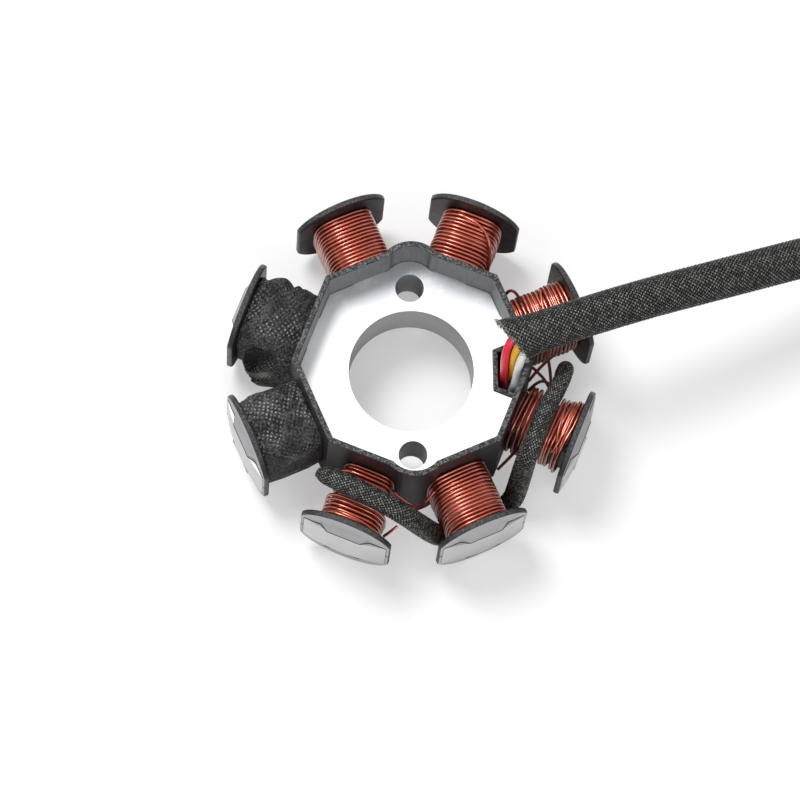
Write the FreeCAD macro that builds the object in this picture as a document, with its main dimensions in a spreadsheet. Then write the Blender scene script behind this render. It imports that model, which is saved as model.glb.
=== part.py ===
"""Eight-pole wound stator with its bobbins, coils, leads and harness, in millimetres.

The frame has +Z along the bore, with Z = 0 where the rear ears stand. The lead chamber lies on +X
and the two mounting holes on +Y and -Y, so the poles stand at 22.5 degrees and every 45 after it.
What repeats around the poles is drawn with a pole on +X, in bodies that are then turned.
"""
import FreeCAD, Part
import math
import os

import Sketcher

from FreeCAD import Placement, Rotation, Vector

POLES = 8
POLE_ANGLE = 360 / POLES
HALF_ANGLE = POLE_ANGLE / 2
HOLE_ANGLES = (90, 270)
COPPER_ANGLES = (22.5, 67.5, 112.5, 247.5, 292.5, 337.5)
TAPED_ANGLES = (157.5, 202.5)
# How full the tape is, from 0 to 1, at shares of the way out along the pole
TAPE_STATIONS = ((0.0, 0.1), (0.2, 0.8), (0.45, 1.0), (0.7, 0.8), (1.0, -0.2))
# The tape bridge's way out from the rim, its shift towards +Y and its half width
BRIDGE_STATIONS = ((0.3, -0.2, 1.7), (3.4, 0.0, 2.5), (7.4, 1.6, 2.3), (10.6, 2.6, 1.4))
# Each arc of a cord takes this share of the shorter run beside it
ARC_SHARE = 0.45
# The flat sides of each cord's section
HARNESS_SIDES = 8
SLEEVE_SIDES = 6
LEAD_SIDES = 4
WIRE_SIDES = 6
# The harness's coil is one turn of four arcs, each tighter by a step, and a tail inside them
COIL_ARCS = 4
COIL_RADIUS = 56
COIL_STEP = 3
TAIL_SWEEP = 45
# The tie's slack round the strands, and its head as shares of the band's width and thickness
TIE_SLACK = 0.15
TIE_HEAD_WIDTH = 1.3
TIE_HEAD_HEIGHT = 3
# The plug's mouth as seen from the harness's end, how far in the terminals sit, and its rooms
PLUG_OFFSET = (6.9, -16.1)
PLUG_SEAT = 3.0
PLUG_SLOTS = (-1, 0, 1)
# Shares of the plug's length: where its latch begins, the latch, a terminal's barrel and blade
LATCH_START = 0.3
LATCH_LENGTH = 0.4
BARREL_LENGTH = 0.3
BLADE_LENGTH = 0.45
# How far apart the leads leave the harness, in lead diameters
LEAD_SPREAD = 1.2
# Each chamber lead's place in the harness's end (sideways, up), its reach, and its end in the chamber
CHAMBER_LEADS = (
    ("red", 2.4, -1.0, 3.5, (21.9, -2.0, 17.0)),
    ("yellow", 0.0, -0.2, 2.1, (24.2, 1.0, 17.0)),
    ("white", -2.4, 0.4, 2.1, (24.1, -3.3, 17.0)),
)
THIN_WIRES = {
    "link_wire_1": ((-4.2, -31.9, 23.5), (1.1, -32.9, 20.0), (3.2, -30.4, 24.0)),
    "link_wire_2": ((19.9, -24.6, 16.5), (22.6, -21.6, 17.5), (24.0, -18.9, 19.5)),
    "link_wire_3": ((30.8, 4.0, 22.0), (31.4, 0.0, 19.5), (30.8, -4.0, 23.0)),
    "link_wire_4": ((33.6, 5.1, 15.0), (32.2, 0.6, 16.4), (31.4, -4.3, 14.0)),
    "wire_loop": ((22.8, 18.0, 25.0), (23.4, 18.6, 28.4), (25.6, 17.6, 28.8), (26.4, 15.7, 26.9)),
}
# The cut end: its coil, and its way out, sideways and up from the coil's outer end and side
WIRE_TAIL_ANGLE = 247.5
WIRE_TAIL = ((-3.5, 0.53, -2.2), (-4.5, 1.63, -0.4), (-6.4, 2.8, 0.4))

doc = FreeCAD.newDocument("wound_stator")

# Driving dimensions, in millimetres
dimensions = {
    "stackHeight": 14.0,
    "boreRadius": 15.0,
    "hubAcross": 50.6,
    "holeCircle": 41.6,
    "holeRadius": 3.4,
    "holeLand": 3.4,
    "neckWidth": 8.4,
    "shoeRadius": 44.6,
    "shoeWidth": 21.0,
    "shoeProud": 0.15,
    "earThick": 1.0,
    "earReach": 8.8,
    "earEnd": 0.6,
    "cheekThick": 0.8,
    "linerThick": 0.5,
    "tabWidth": 8.4,
    "tabFlare": 2.0,
    "tabRise": 3.2,
    "wallThick": 1.4,
    "rimHeight": 11.7,
    "rearRimHeight": 8.0,
    "sleeveThick": 1.0,
    "cornerRound": 1.2,
    "fitGap": 0.05,
    "partingGap": 0.1,
    "chamberReach": 19.7,
    "chamberWidth": 10.0,
    "chamberWall": 1.0,
    "chamberLip": 0.8,
    "chamberFloor": 1.0,
    "windowWidth": 5.0,
    "windowHeight": 4.0,
    "windingThick": 2.4,
    "windingTurns": 17,
    "grooveDepth": 0.3,
    "tapeThick": 0.9,
    "tapeBulge": 0.7,
    "bridgeHeight": 10.4,
    "wireDiameter": 0.8,
    "leadDiameter": 1.8,
    "leadSleeveDiameter": 5.0,
    "harnessDiameter": 10.0,
    "tieWidth": 4.6,
    "tieThick": 1.1,
    "plugWidth": 17.0,
    "plugHeight": 9.0,
    "plugLength": 26.0,
    "plugWall": 1.2,
    "plugPitch": 5.0,
}

sheet = doc.addObject("Spreadsheet::Sheet", "sizes")
for row, (alias, number) in enumerate(dimensions.items(), start=1):
    sheet.set(f"A{row}", alias)
    sheet.set(f"B{row}", str(number))
    sheet.setAlias(f"B{row}", alias)
doc.recompute()


class Size:
    """A number together with the expression that gives it from the sheet."""

    def __init__(self, value, text):
        self.value = value
        self.text = text

    def joined(self, other, sign, value):
        return Size(value, f"({self.text} {sign} {as_size(other).text})")

    def __add__(self, other):
        return self.joined(other, "+", self.value + as_size(other).value)

    def __sub__(self, other):
        return self.joined(other, "-", self.value - as_size(other).value)

    def __mul__(self, other):
        return self.joined(other, "*", self.value * as_size(other).value)

    def __truediv__(self, other):
        return self.joined(other, "/", self.value / as_size(other).value)

    def __neg__(self):
        return self * -1


def as_size(thing):
    """A bare number as a Size, and a Size as it is."""
    return thing if isinstance(thing, Size) else Size(float(thing), repr(float(thing)))


def root(size):
    return Size(math.sqrt(size.value), f"sqrt({size.text})")


def size(alias):
    """The Size of one cell of the sheet."""
    return Size(float(sheet.get(alias)), f"sizes.{alias}")


def turned(x, y, degrees):
    """The point (x, y) turned about the axis."""
    cosine, sine = math.cos(math.radians(degrees)), math.sin(math.radians(degrees))
    x, y = as_size(x), as_size(y)
    return x * cosine - y * sine, x * sine + y * cosine


# Places worked out from the driving dimensions
backFace = size("earReach")
middle = backFace + size("stackHeight") / 2
frontFace = backFace + size("stackHeight")
hubFlat = size("hubAcross") / 2
wallInner = hubFlat + size("fitGap")
wallOuter = wallInner + size("wallThick")
shoeEdge = root(size("shoeRadius") * size("shoeRadius") - size("shoeWidth") * size("shoeWidth") / 4)
earPlane = shoeEdge - size("shoeProud")
shoeInner = earPlane - size("earThick")
linerInner = shoeInner - size("linerThick")
earHalf = size("shoeWidth") / 2 + size("fitGap") + size("cheekThick")
neckHalf = size("neckWidth") / 2
neckClear = neckHalf + size("fitGap")
sleeveHalf = neckClear + size("sleeveThick")
windingInner = sleeveHalf + size("fitGap")
windingOuter = windingInner + size("windingThick")
stackHalf = size("stackHeight") / 2
windingLow = stackHalf + size("fitGap") * 2 + size("sleeveThick")
windingHigh = windingLow + size("windingThick")
windingStart = wallOuter + size("fitGap")
windingEnd = linerInner - size("fitGap")


def level(side, height):
    """The height of a point that lies height beyond the stack's front (1) or back (-1) face."""
    return middle + (stackHalf + height) * side


def origin_part(body, role):
    """The body's own origin plane or axis with this role."""
    return next(item for item in body.Origin.OriginFeatures if item.Role == role)


def new_body(label):
    body = doc.addObject("PartDesign::Body", label)
    body.Label = label
    return body


def corner(x, y, bend=None):
    """A corner of an outline. A bend (mid x, mid y, radius) makes the edge that follows it an arc."""
    return as_size(x), as_size(y), bend


def flat(point):
    return Vector(as_size(point[0]).value, as_size(point[1]).value, 0)


def draw(sketch, corners):
    """Draws one closed outline, with each corner and arc radius bound to its sizes."""
    edges = []
    for here, after in zip(corners, corners[1:] + corners[:1]):
        if here[2] is None:
            index = sketch.addGeometry(Part.LineSegment(flat(here), flat(after)))
            edges.append((index, 1, 2))
            continue
        middle_x, middle_y, radius = here[2]
        arc = Part.ArcOfCircle(flat(here), flat((middle_x, middle_y)), flat(after))
        index = sketch.addGeometry(arc)
        begin, end = sketch.getPoint(index, 1), sketch.getPoint(index, 2)
        forward = (begin - flat(here)).Length < (end - flat(here)).Length
        edges.append((index, 1, 2) if forward else (index, 2, 1))
        bound(sketch, Sketcher.Constraint("Radius", index, as_size(radius).value), as_size(radius))
    for (index, start, end), (follower, begin, _) in zip(edges, edges[1:] + edges[:1]):
        sketch.addConstraint(Sketcher.Constraint("Coincident", index, end, follower, begin))
    for (index, start, end), (x, y, _) in zip(edges, corners):
        bound(sketch, Sketcher.Constraint("DistanceX", index, start, x.value), x)
        bound(sketch, Sketcher.Constraint("DistanceY", index, start, y.value), y)


def bound(sketch, constraint, value):
    """Adds a constraint whose number comes from the sheet."""
    index = sketch.addConstraint(constraint)
    if "sizes." in value.text:
        sketch.setExpression(f"Constraints[{index}]", value.text)


def draw_circle(sketch, x, y, radius):
    x, y = as_size(x), as_size(y)
    index = sketch.addGeometry(Part.Circle(flat((x, y)), Vector(0, 0, 1), radius.value))
    bound(sketch, Sketcher.Constraint("Radius", index, radius.value), radius)
    bound(sketch, Sketcher.Constraint("DistanceX", index, 3, x.value), x)
    bound(sketch, Sketcher.Constraint("DistanceY", index, 3, y.value), y)


def new_sketch(body, name, role, lift, *outlines):
    """A sketch on one of the body's planes, lifted along the plane's normal."""
    sketch = body.newObject("Sketcher::SketchObject", name)
    sketch.AttachmentSupport = (origin_part(body, role), [""])
    sketch.MapMode = "FlatFace"
    sketch.setExpression("AttachmentOffset.Base.z", as_size(lift).text)
    for outline in outlines:
        draw(sketch, outline)
    return sketch


def pad(body, sketch, length, down=False):
    feature = body.newObject("PartDesign::Pad", f"{sketch.Name}_pad")
    feature.Profile = sketch
    feature.Length = length.value
    feature.setExpression("Length", length.text)
    feature.Reversed = down
    doc.recompute()
    return feature


def pocket(body, sketch, length, along=False):
    """Cuts against the sketch's normal, or along it, and makes sure that it did cut."""
    before = body.Shape.Volume
    feature = body.newObject("PartDesign::Pocket", f"{sketch.Name}_pocket")
    feature.Profile = sketch
    feature.Length = length.value
    feature.setExpression("Length", length.text)
    feature.Reversed = along
    doc.recompute()
    if body.Shape.Volume >= before:
        raise RuntimeError(f"{feature.Name} cuts nothing")
    return feature


def around(body, name, originals):
    """Repeats features at every pole."""
    pattern = body.newObject("PartDesign::PolarPattern", name)
    pattern.Originals = originals
    pattern.Axis = (origin_part(body, "Z_Axis"), [""])
    pattern.Angle = 360
    pattern.Occurrences = POLES
    body.Tip = pattern
    doc.recompute()
    return pattern


def turn_body(body, degrees):
    body.Placement = Placement(Vector(0, 0, 0), Rotation(Vector(0, 0, 1), degrees))


def octagon(flat_distance, land):
    """The hub's outline: eight corners, with the two at the mounting holes rounded about the holes."""
    outline = []
    hole = size("holeCircle") / 2
    radius = size("holeRadius") + land
    cosine, sine = math.cos(math.radians(HALF_ANGLE)), math.sin(math.radians(HALF_ANGLE))
    for number in range(POLES):
        angle = HALF_ANGLE + number * POLE_ANGLE
        if round(angle + HALF_ANGLE) % 360 not in HOLE_ANGLES:
            outline.append(corner(*turned(flat_distance / cosine, 0, angle)))
            continue
        clear = flat_distance - hole * cosine
        along = root(radius * radius - clear * clear)
        x = hole + clear * cosine - along * sine
        y = clear * sine + along * cosine
        top = turned(hole + radius, 0, angle)
        outline.append(corner(*turned(x, -y, angle), (*top, radius)))
        outline.append(corner(*turned(x, y, angle)))
    return outline


def chamber_outline(inset, reach):
    """The lead chamber's five-sided outline in the turned frame, from the hub's web to the rim."""
    left = size("chamberReach") + inset
    slope = math.tan(math.radians(HALF_ANGLE))
    cosine, sine = math.cos(math.radians(HALF_ANGLE)), math.sin(math.radians(HALF_ANGLE))
    half = size("chamberWidth") / 2 - inset * (1 / cosine - slope)
    length = reach - (left * cosine + half * sine)
    end_x = left + length * cosine
    end_y = half + length * sine
    points = [(left, -half), (end_x, -end_y), (reach / cosine, 0), (end_x, end_y), (left, half)]
    return [corner(*turned(x, y, -HALF_ANGLE)) for x, y in points]


# Laminated core: a thick hub and eight T-shaped poles
def core_stack():
    body = new_body("core_stack")
    hub = new_sketch(body, "hub", "XY_Plane", backFace, octagon(hubFlat, size("holeLand")))
    draw_circle(hub, 0, 0, size("boreRadius"))
    for angle in HOLE_ANGLES:
        draw_circle(hub, *turned(size("holeCircle") / 2, 0, angle - HALF_ANGLE), size("holeRadius"))
    pad(body, hub, size("stackHeight"))
    overlap = size("wallThick")
    pole = new_sketch(body, "pole", "XY_Plane", backFace, [
        corner(hubFlat - overlap, -neckHalf),
        corner(shoeInner, -neckHalf),
        corner(shoeInner, -size("shoeWidth") / 2),
        corner(shoeEdge, -size("shoeWidth") / 2, (size("shoeRadius"), 0, size("shoeRadius"))),
        corner(shoeEdge, size("shoeWidth") / 2),
        corner(shoeInner, size("shoeWidth") / 2),
        corner(shoeInner, neckHalf),
        corner(hubFlat - overlap, neckHalf),
    ])
    around(body, "poles", [pad(body, pole, size("stackHeight"))])
    notch = new_sketch(body, "chamber_notch", "XY_Plane", frontFace,
                       chamber_outline(-size("fitGap"), wallInner + size("wallThick") / 2 + size("fitGap")))
    pocket(body, notch, size("stackHeight"))
    turn_body(body, HALF_ANGLE)
    return body


def arch(side, notch_half):
    """A pole flange seen along the pole: arched past the stack and open round the neck or shoe."""
    parting = level(side, -stackHalf + size("partingGap") / 2)
    end = level(side, size("earEnd"))
    crown = level(side, size("earReach"))
    rise = size("earReach") - size("earEnd")
    radius = (earHalf * earHalf + rise * rise) / (rise * 2)
    step = level(side, size("fitGap"))
    return [
        corner(-earHalf, parting),
        corner(-earHalf, end, (0, crown, radius)),
        corner(earHalf, end),
        corner(earHalf, parting),
        corner(notch_half, parting),
        corner(notch_half, step),
        corner(-notch_half, step),
        corner(-notch_half, parting),
    ]


def sleeve(side):
    """The moulding round the pole's neck, with its corners taken off for the wire."""
    parting = level(side, -stackHalf + size("partingGap") / 2)
    top = level(side, size("fitGap") + size("sleeveThick"))
    step = level(side, size("fitGap"))
    short = size("cornerRound") * (2 - math.sqrt(2))
    low = top - short * side
    return [
        corner(-sleeveHalf, parting),
        corner(-sleeveHalf, low),
        corner(short - sleeveHalf, top),
        corner(sleeveHalf - short, top),
        corner(sleeveHalf, low),
        corner(sleeveHalf, parting),
        corner(neckClear, parting),
        corner(neckClear, step),
        corner(-neckClear, step),
        corner(-neckClear, parting),
    ]


def tab_outline(side):
    """The tab that covers the shoe's ledge, seen from the end of the stack."""
    half = size("tabWidth") / 2
    foot = half + size("tabFlare")
    edge = root(size("shoeRadius") * size("shoeRadius") - half * half)
    back = earPlane - size("earThick") / 2
    return [
        corner(back, -foot),
        corner(earPlane, -foot),
        corner(edge, -half),
        corner(edge, half),
        corner(earPlane, foot),
        corner(back, foot),
    ]


# Moulded bobbins: front (1) and back (-1) halves that meet round the poles
def bobbin(label, side, rim_height, lip, floored):
    body = new_body(label)
    parting = level(side, -stackHalf + size("partingGap") / 2)
    wall = new_sketch(body, f"{label}_wall", "XY_Plane", parting,
                      octagon(wallOuter, size("holeLand") + size("fitGap") + size("wallThick")),
                      octagon(wallInner, size("holeLand") + size("fitGap")))
    pad(body, wall, stackHalf + rim_height - size("partingGap") / 2, side < 0)

    window = new_sketch(body, f"{label}_window", "YZ_Plane", wallOuter + size("fitGap"), [
        corner(-neckClear, level(side, -stackHalf - size("wallThick"))),
        corner(neckClear, level(side, -stackHalf - size("wallThick"))),
        corner(neckClear, level(side, size("fitGap"))),
        corner(-neckClear, level(side, size("fitGap"))),
    ])
    around(body, f"{label}_windows", [pocket(body, window, size("wallThick") * 2)])

    root_plane = wallInner + size("wallThick") / 2
    sleeves = new_sketch(body, f"{label}_sleeve", "YZ_Plane", root_plane, sleeve(side))
    liner = new_sketch(body, f"{label}_liner", "YZ_Plane", linerInner, arch(side, neckClear))
    shoe_clear = size("shoeWidth") / 2 + size("fitGap")
    ear = new_sketch(body, f"{label}_ear", "YZ_Plane", shoeInner, arch(side, shoe_clear))
    tab = new_sketch(body, f"{label}_tab", "XY_Plane", level(side, size("fitGap")), tab_outline(side))
    around(body, f"{label}_flanges", [
        pad(body, sleeves, linerInner - root_plane),
        pad(body, liner, size("linerThick")),
        pad(body, ear, size("earThick")),
        pad(body, tab, size("tabRise"), side < 0),
    ])
    beyond = size("shoeRadius") + size("tabFlare")
    crest = level(side, size("fitGap") + size("tabRise"))
    toe = level(side, size("fitGap") + size("linerThick"))
    slope = new_sketch(body, f"{label}_slope", "XZ_Plane", earHalf, [
        corner(earPlane, crest + size("tabFlare") * side),
        corner(beyond, crest + size("tabFlare") * side),
        corner(beyond, toe),
        corner(size("shoeRadius"), toe),
        corner(earPlane, crest),
    ])
    around(body, f"{label}_slopes", [pocket(body, slope, earHalf * 2)])

    chamber = new_sketch(body, f"{label}_chamber", "XY_Plane", parting,
                         chamber_outline(Size(0, "0"), root_plane),
                         chamber_outline(size("chamberWall"), wallInner))
    pad(body, chamber, stackHalf - size("partingGap") / 2 + lip, side < 0)
    if floored:
        floor = new_sketch(body, f"{label}_floor", "XY_Plane", level(side, -size("chamberFloor")),
                           chamber_outline(size("chamberWall") / 2, root_plane))
        pad(body, floor, size("chamberFloor"), side < 0)
    else:
        near, far = wallInner - size("chamberWall"), wallOuter + size("windowWidth")
        half = size("windowWidth") / 2
        gate = new_sketch(body, f"{label}_gate", "XY_Plane", parting, [
            corner(*turned(near, -half, -HALF_ANGLE)),
            corner(*turned(far, -half, -HALF_ANGLE)),
            corner(*turned(far, half, -HALF_ANGLE)),
            corner(*turned(near, half, -HALF_ANGLE)),
        ])
        pocket(body, gate, size("windowHeight"), True)
    turn_body(body, HALF_ANGLE)
    return body


# Windings: the wire's turns show as ridges round the neck
def ridged_profile():
    """Half a section through the winding beside the neck, with one ridge for each turn."""
    turns = int(sheet.get("windingTurns"))
    pitch = (windingEnd - windingStart) / turns
    outline = [corner(windingEnd, windingInner), corner(windingStart, windingInner)]
    for turn in range(turns):
        outline.append(corner(windingStart + pitch * turn, windingOuter - size("grooveDepth")))
        outline.append(corner(windingStart + pitch * (turn + 0.5), windingOuter))
    outline.append(corner(windingEnd, windingOuter - size("grooveDepth")))
    return outline


def plain_profile():
    return [
        corner(windingEnd, windingInner),
        corner(windingStart, windingInner),
        corner(windingStart, windingOuter),
        corner(windingEnd, windingOuter),
    ]


def ring(half, low, bend):
    """A closed ring about the pole, begun in the middle of a side. Each corner is one flat that just
    touches the arc of radius bend."""
    short = bend * (2 - math.sqrt(2))
    return [
        corner(half, middle),
        corner(half, middle + low - short),
        corner(half - short, middle + low),
        corner(short - half, middle + low),
        corner(-half, middle + low - short),
        corner(-half, middle - low + short),
        corner(short - half, middle - low),
        corner(half - short, middle - low),
        corner(half, middle - low + short),
    ]


def winding(label, degrees, profile):
    body = new_body(label)
    path = new_sketch(body, f"{label}_path", "YZ_Plane", windingStart,
                      ring(windingInner, windingLow, size("cornerRound")))
    section = new_sketch(body, f"{label}_section", "XY_Plane", middle, profile)
    pipe = body.newObject("PartDesign::AdditivePipe", f"{label}_turns")
    pipe.Profile = section
    pipe.Spine = path
    pipe.Mode = "Standard"
    pipe.Transition = "Right corner"
    body.Tip = pipe
    doc.recompute()
    for hole in HOLE_ANGLES:
        if abs(hole - degrees) == HALF_ANGLE:
            clear_the_land(body, hole - degrees)
    turn_body(body, degrees)
    return body


def clear_the_land(body, degrees):
    """Cuts the turns back where the rim bulges round a mounting hole."""
    land = new_sketch(body, f"{body.Label}_land", "XY_Plane", frontFace + size("rimHeight"))
    radius = size("holeRadius") + size("holeLand") + size("wallThick") + size("fitGap") * 2
    draw_circle(land, *turned(size("holeCircle") / 2, 0, degrees), radius)
    pocket(body, land, frontFace + size("rimHeight"))


# Tape wound over the two exciter coils, fuller in the middle than at its ends
def tape_wrap(label, degrees):
    body = new_body(label)
    inner_half = windingOuter + size("fitGap")
    inner_low = windingHigh + size("fitGap")
    bend = size("cornerRound") + size("windingThick") + size("fitGap")
    sections = []
    for number, (share, bulge) in enumerate(TAPE_STATIONS):
        spread = size("tapeThick") + size("tapeBulge") * bulge
        lift = windingStart + (windingEnd - windingStart) * share
        outline = ring(inner_half + spread, inner_low + spread, bend + spread)
        sections.append(new_sketch(body, f"{label}_section_{number}", "YZ_Plane", lift, outline))
    loft = body.newObject("PartDesign::AdditiveLoft", f"{label}_loft")
    loft.Profile = sections[0]
    loft.Sections = sections[1:]
    loft.Ruled = True
    body.Tip = loft
    doc.recompute()
    hollow = new_sketch(body, f"{label}_hollow", "YZ_Plane", windingEnd, ring(inner_half, inner_low, bend))
    pocket(body, hollow, windingEnd - windingStart)
    turn_body(body, degrees)
    return body


def shaped(label, shape):
    """A piece that is swept or lofted along places of its own."""
    piece = doc.addObject("Part::Feature", label)
    piece.Label = label
    piece.Shape = shape
    return piece


def polygon(centre, first, second, sides):
    """A closed outline with its corners on a circle or ellipse, and a flat across the end of each axis."""
    points = []
    for number in range(sides):
        angle = 2 * math.pi * (number + 0.5) / sides
        points.append(centre + first * math.sin(angle) + second * math.cos(angle))
    return Part.makePolygon(points + points[:1])


# Fold of tape that carries the wires from one exciter coil to the other
def tape_bridge():
    body = new_body("tape_bridge")
    rim_corner = -wallOuter / math.cos(math.radians(HALF_ANGLE)) - size("fitGap")
    near = [corner(rim_corner - out, across + half) for out, across, half in BRIDGE_STATIONS]
    far = [corner(rim_corner - out, across - half) for out, across, half in reversed(BRIDGE_STATIONS)]
    low = middle - size("bridgeHeight") / 2
    pad(body, new_sketch(body, "bridge_plan", "XY_Plane", low, near + far), size("bridgeHeight"))
    return body


def route(points):
    """Straight runs joined by tangent arcs, each as large as its two runs allow, and the least radius."""
    edges = []
    begin, least = points[0], math.inf
    for before, point, after in zip(points, points[1:], points[2:]):
        arriving, leaving = point - before, after - point
        setback = ARC_SHARE * min(arriving.Length, leaving.Length)
        arriving.normalize()
        leaving.normalize()
        half_turn = arriving.getAngle(leaving) / 2
        radius = setback / math.tan(half_turn)
        inward = (leaving - arriving).normalize()
        first, last = point - arriving * setback, point + leaving * setback
        crest = point + inward * (radius / math.cos(half_turn) - radius)
        edges.append(Part.LineSegment(begin, first).toShape())
        edges.append(Part.Arc(first, crest, last).toShape())
        begin, least = last, min(least, radius)
    edges.append(Part.LineSegment(begin, points[-1]).toShape())
    return edges, least


def tube(label, diameter, sides, edges, least):
    """A cord along a path. Its section has flat sides inside the cord's diameter, to keep it light."""
    start, along = edges[0].firstVertex(True).Point, edges[0].tangentAt(edges[0].FirstParameter)
    sideways = along.cross(Vector(0, 0, 1)).normalize() * diameter / 2
    section = Part.Face(polygon(start, sideways, sideways.cross(along), sides))
    path = Part.Wire(edges)
    solid = path.makePipe(section)
    expected = section.Area * path.Length
    if abs(solid.Volume - expected) > 0.01 * expected:
        raise RuntimeError(f"{label} holds {solid.Volume:.1f}, not {expected:.1f}")
    print(f"{label}: length {path.Length:.1f}, least radius {least:.1f}, diameter {diameter}")
    return shaped(label, solid)


def cord(label, diameter, sides, places):
    edges, least = route([Vector(*place) for place in places])
    return tube(label, diameter, sides, edges, least)


def thin_wire(label, places):
    """A stiff bare wire, in straight runs with mitred corners."""
    diameter = size("wireDiameter").value
    points = [Vector(*place) for place in places]
    along = (points[1] - points[0]).normalize()
    side = along.cross(Vector(0, 0, 1)).normalize() * diameter / 2
    section = polygon(points[0], side, along.cross(side), WIRE_SIDES)
    solid = Part.makePolygon(points).makePipeShell([section], True, False, 1)
    return shaped(label, solid)


# Harness: from its cut end over the rim, down to the table and into its coil
harnessDiameter = size("harnessDiameter").value
harnessLift = harnessDiameter / 2 + size("tieThick").value + TIE_SLACK
harness_places = [
    (25.6, 3.6, 39.7),
    (46.5, 10.3, 39.6),
    (75.0, 19.2, 34.5),
    (104.0, 29.6, 24.0),
    (128.0, 37.6, 12.5),
    (149.0, 42.0, harnessLift),
    (172.0, 42.0, harnessLift),
]
harness_mouth = Vector(*harness_places[0])
harness_way = (Vector(*harness_places[1]) - harness_mouth).normalize()


def coil_edges():
    """The coil's one turn, clockwise and inward, as arcs of falling radius."""
    edges = []
    centre = Vector(*harness_places[-1]) - Vector(0, COIL_RADIUS, 0)
    outward = Vector(0, 1, 0)
    for number in range(COIL_ARCS):
        after = Vector(outward.y, -outward.x, 0)
        ways = (outward, (outward + after).normalize(), after)
        radius = COIL_RADIUS - COIL_STEP * number
        edges.append(Part.Arc(*[centre + way * radius for way in ways]).toShape())
        centre = centre + after * COIL_STEP
        outward = after
    return edges


def tail_edge():
    """The harness's last stretch, which runs on inside its turn."""
    radius = COIL_RADIUS - COIL_STEP * COIL_ARCS
    centre = coil_edges()[-1].lastVertex(True).Point - Vector(0, radius, 0)
    spots = []
    for share in (0, 0.5, 1):
        angle = math.radians(90 - TAIL_SWEEP * share)
        spots.append(centre + Vector(math.cos(angle), math.sin(angle), 0) * radius)
    return Part.Arc(*spots).toShape()


# Cable tie round the coil's two strands
def coil_tie():
    strands = [Vector(*harness_places[-1]), coil_edges()[-1].lastVertex(True).Point]
    gap, thick, width = TIE_SLACK, size("tieThick").value, size("tieWidth").value
    half = harnessDiameter / 2
    low = Vector(strands[1].x - width / 2, strands[1].y - half - gap, strands[1].z - half - gap)
    across = strands[0].y - strands[1].y + harnessDiameter + 2 * gap
    high = harnessDiameter + 2 * gap

    def loop(grow, longer):
        corner_place = low - Vector(longer, grow, grow)
        return Part.makeBox(width + 2 * longer, across + 2 * grow, high + 2 * grow, corner_place)

    outside = loop(thick, 0)
    long_edges = [edge for edge in outside.Edges if abs(edge.tangentAt(edge.FirstParameter).x) > 0.9]
    band = outside.makeChamfer(thick, long_edges).cut(loop(0, width))
    head_width, head_length, head_height = width * TIE_HEAD_WIDTH, width, thick * TIE_HEAD_HEIGHT
    head = Part.makeBox(head_width, head_length, head_height,
                        low + Vector((width - head_width) / 2, (across - head_length) / 2, high))
    return shaped("coil_tie", band.fuse(head).removeSplitter())


# Plug at the harness's far end, drawn upright and laid down with its mouth towards -Y
def plug_entry():
    """The middle of the plug's mouth."""
    end = tail_edge().lastVertex(True).Point
    return Vector(end.x + PLUG_OFFSET[0], end.y + PLUG_OFFSET[1], size("plugHeight").value / 2)


def plug_placement():
    return Placement(plug_entry(), Rotation(Vector(1, 0, 0), 90))


def plug_housing():
    body = new_body("plug_housing")
    half, high = size("plugWidth") / 2, size("plugHeight") / 2
    shell = new_sketch(body, "plug_shell", "XY_Plane", Size(0, "0"), [
        corner(-half, -high), corner(half, -high), corner(half, high), corner(-half, high),
    ])
    pad(body, shell, size("plugLength"))
    reach = size("plugPitch") / 2 - size("plugWall") / 2
    depth = high - size("plugWall")
    rooms = []
    for slot in PLUG_SLOTS:
        at = size("plugPitch") * slot
        rooms.append([
            corner(at - reach, -depth),
            corner(at + reach, -depth),
            corner(at + reach, depth),
            corner(at - reach, depth),
        ])
    pocket(body, new_sketch(body, "plug_rooms", "XY_Plane", size("plugLength"), *rooms), size("plugLength"))
    latch = new_sketch(body, "plug_latch", "XY_Plane", size("plugLength") * LATCH_START, [
        corner(-half / 3, high), corner(half / 3, high),
        corner(half / 3, high + size("plugWall")), corner(-half / 3, high + size("plugWall")),
    ])
    pad(body, latch, size("plugLength") * LATCH_LENGTH)
    body.Placement = plug_placement()
    return body


def plug_terminals():
    """One crimp barrel and blade for each lead, on the floor of its room."""
    half_wide = (size("plugPitch").value - size("plugWall").value) / 2 - size("fitGap").value
    floor = size("plugWall").value - size("plugHeight").value / 2 + size("fitGap").value
    barrel_length, barrel_height = size("plugLength").value * BARREL_LENGTH, size("leadDiameter").value
    blade_length, blade_thick = size("plugLength").value * BLADE_LENGTH, size("wireDiameter").value
    pieces = []
    for slot in PLUG_SLOTS:
        at = size("plugPitch").value * slot
        barrel = Part.makeBox(2 * half_wide, barrel_height, barrel_length,
                              Vector(at - half_wide, floor, PLUG_SEAT))
        blade = Part.makeBox(half_wide, blade_thick, blade_length,
                             Vector(at - half_wide / 2, floor, PLUG_SEAT + barrel_length))
        pieces.append(barrel.fuse(blade).removeSplitter())
    terminals = shaped("plug_terminals", Part.makeCompound(pieces))
    terminals.Placement = plug_placement()
    return terminals


def plug_lead(name, slot):
    """A lead from the harness's end to its terminal in the plug."""
    tail = tail_edge()
    start = tail.lastVertex(True).Point
    way = tail.tangentAt(tail.LastParameter)
    begin = start + Vector(-way.y, way.x, 0) * size("leadDiameter").value * LEAD_SPREAD * slot
    begin.z = size("plugWall").value + size("fitGap").value + size("leadDiameter").value / 2
    seat = plug_entry() + Vector(size("plugPitch").value * slot, -PLUG_SEAT, 0)
    seat.z = begin.z
    turn = begin + way * (seat.x - begin.x) / way.x
    return cord(f"plug_lead_{name}", size("leadDiameter").value, LEAD_SIDES, [begin, turn, seat])


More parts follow.
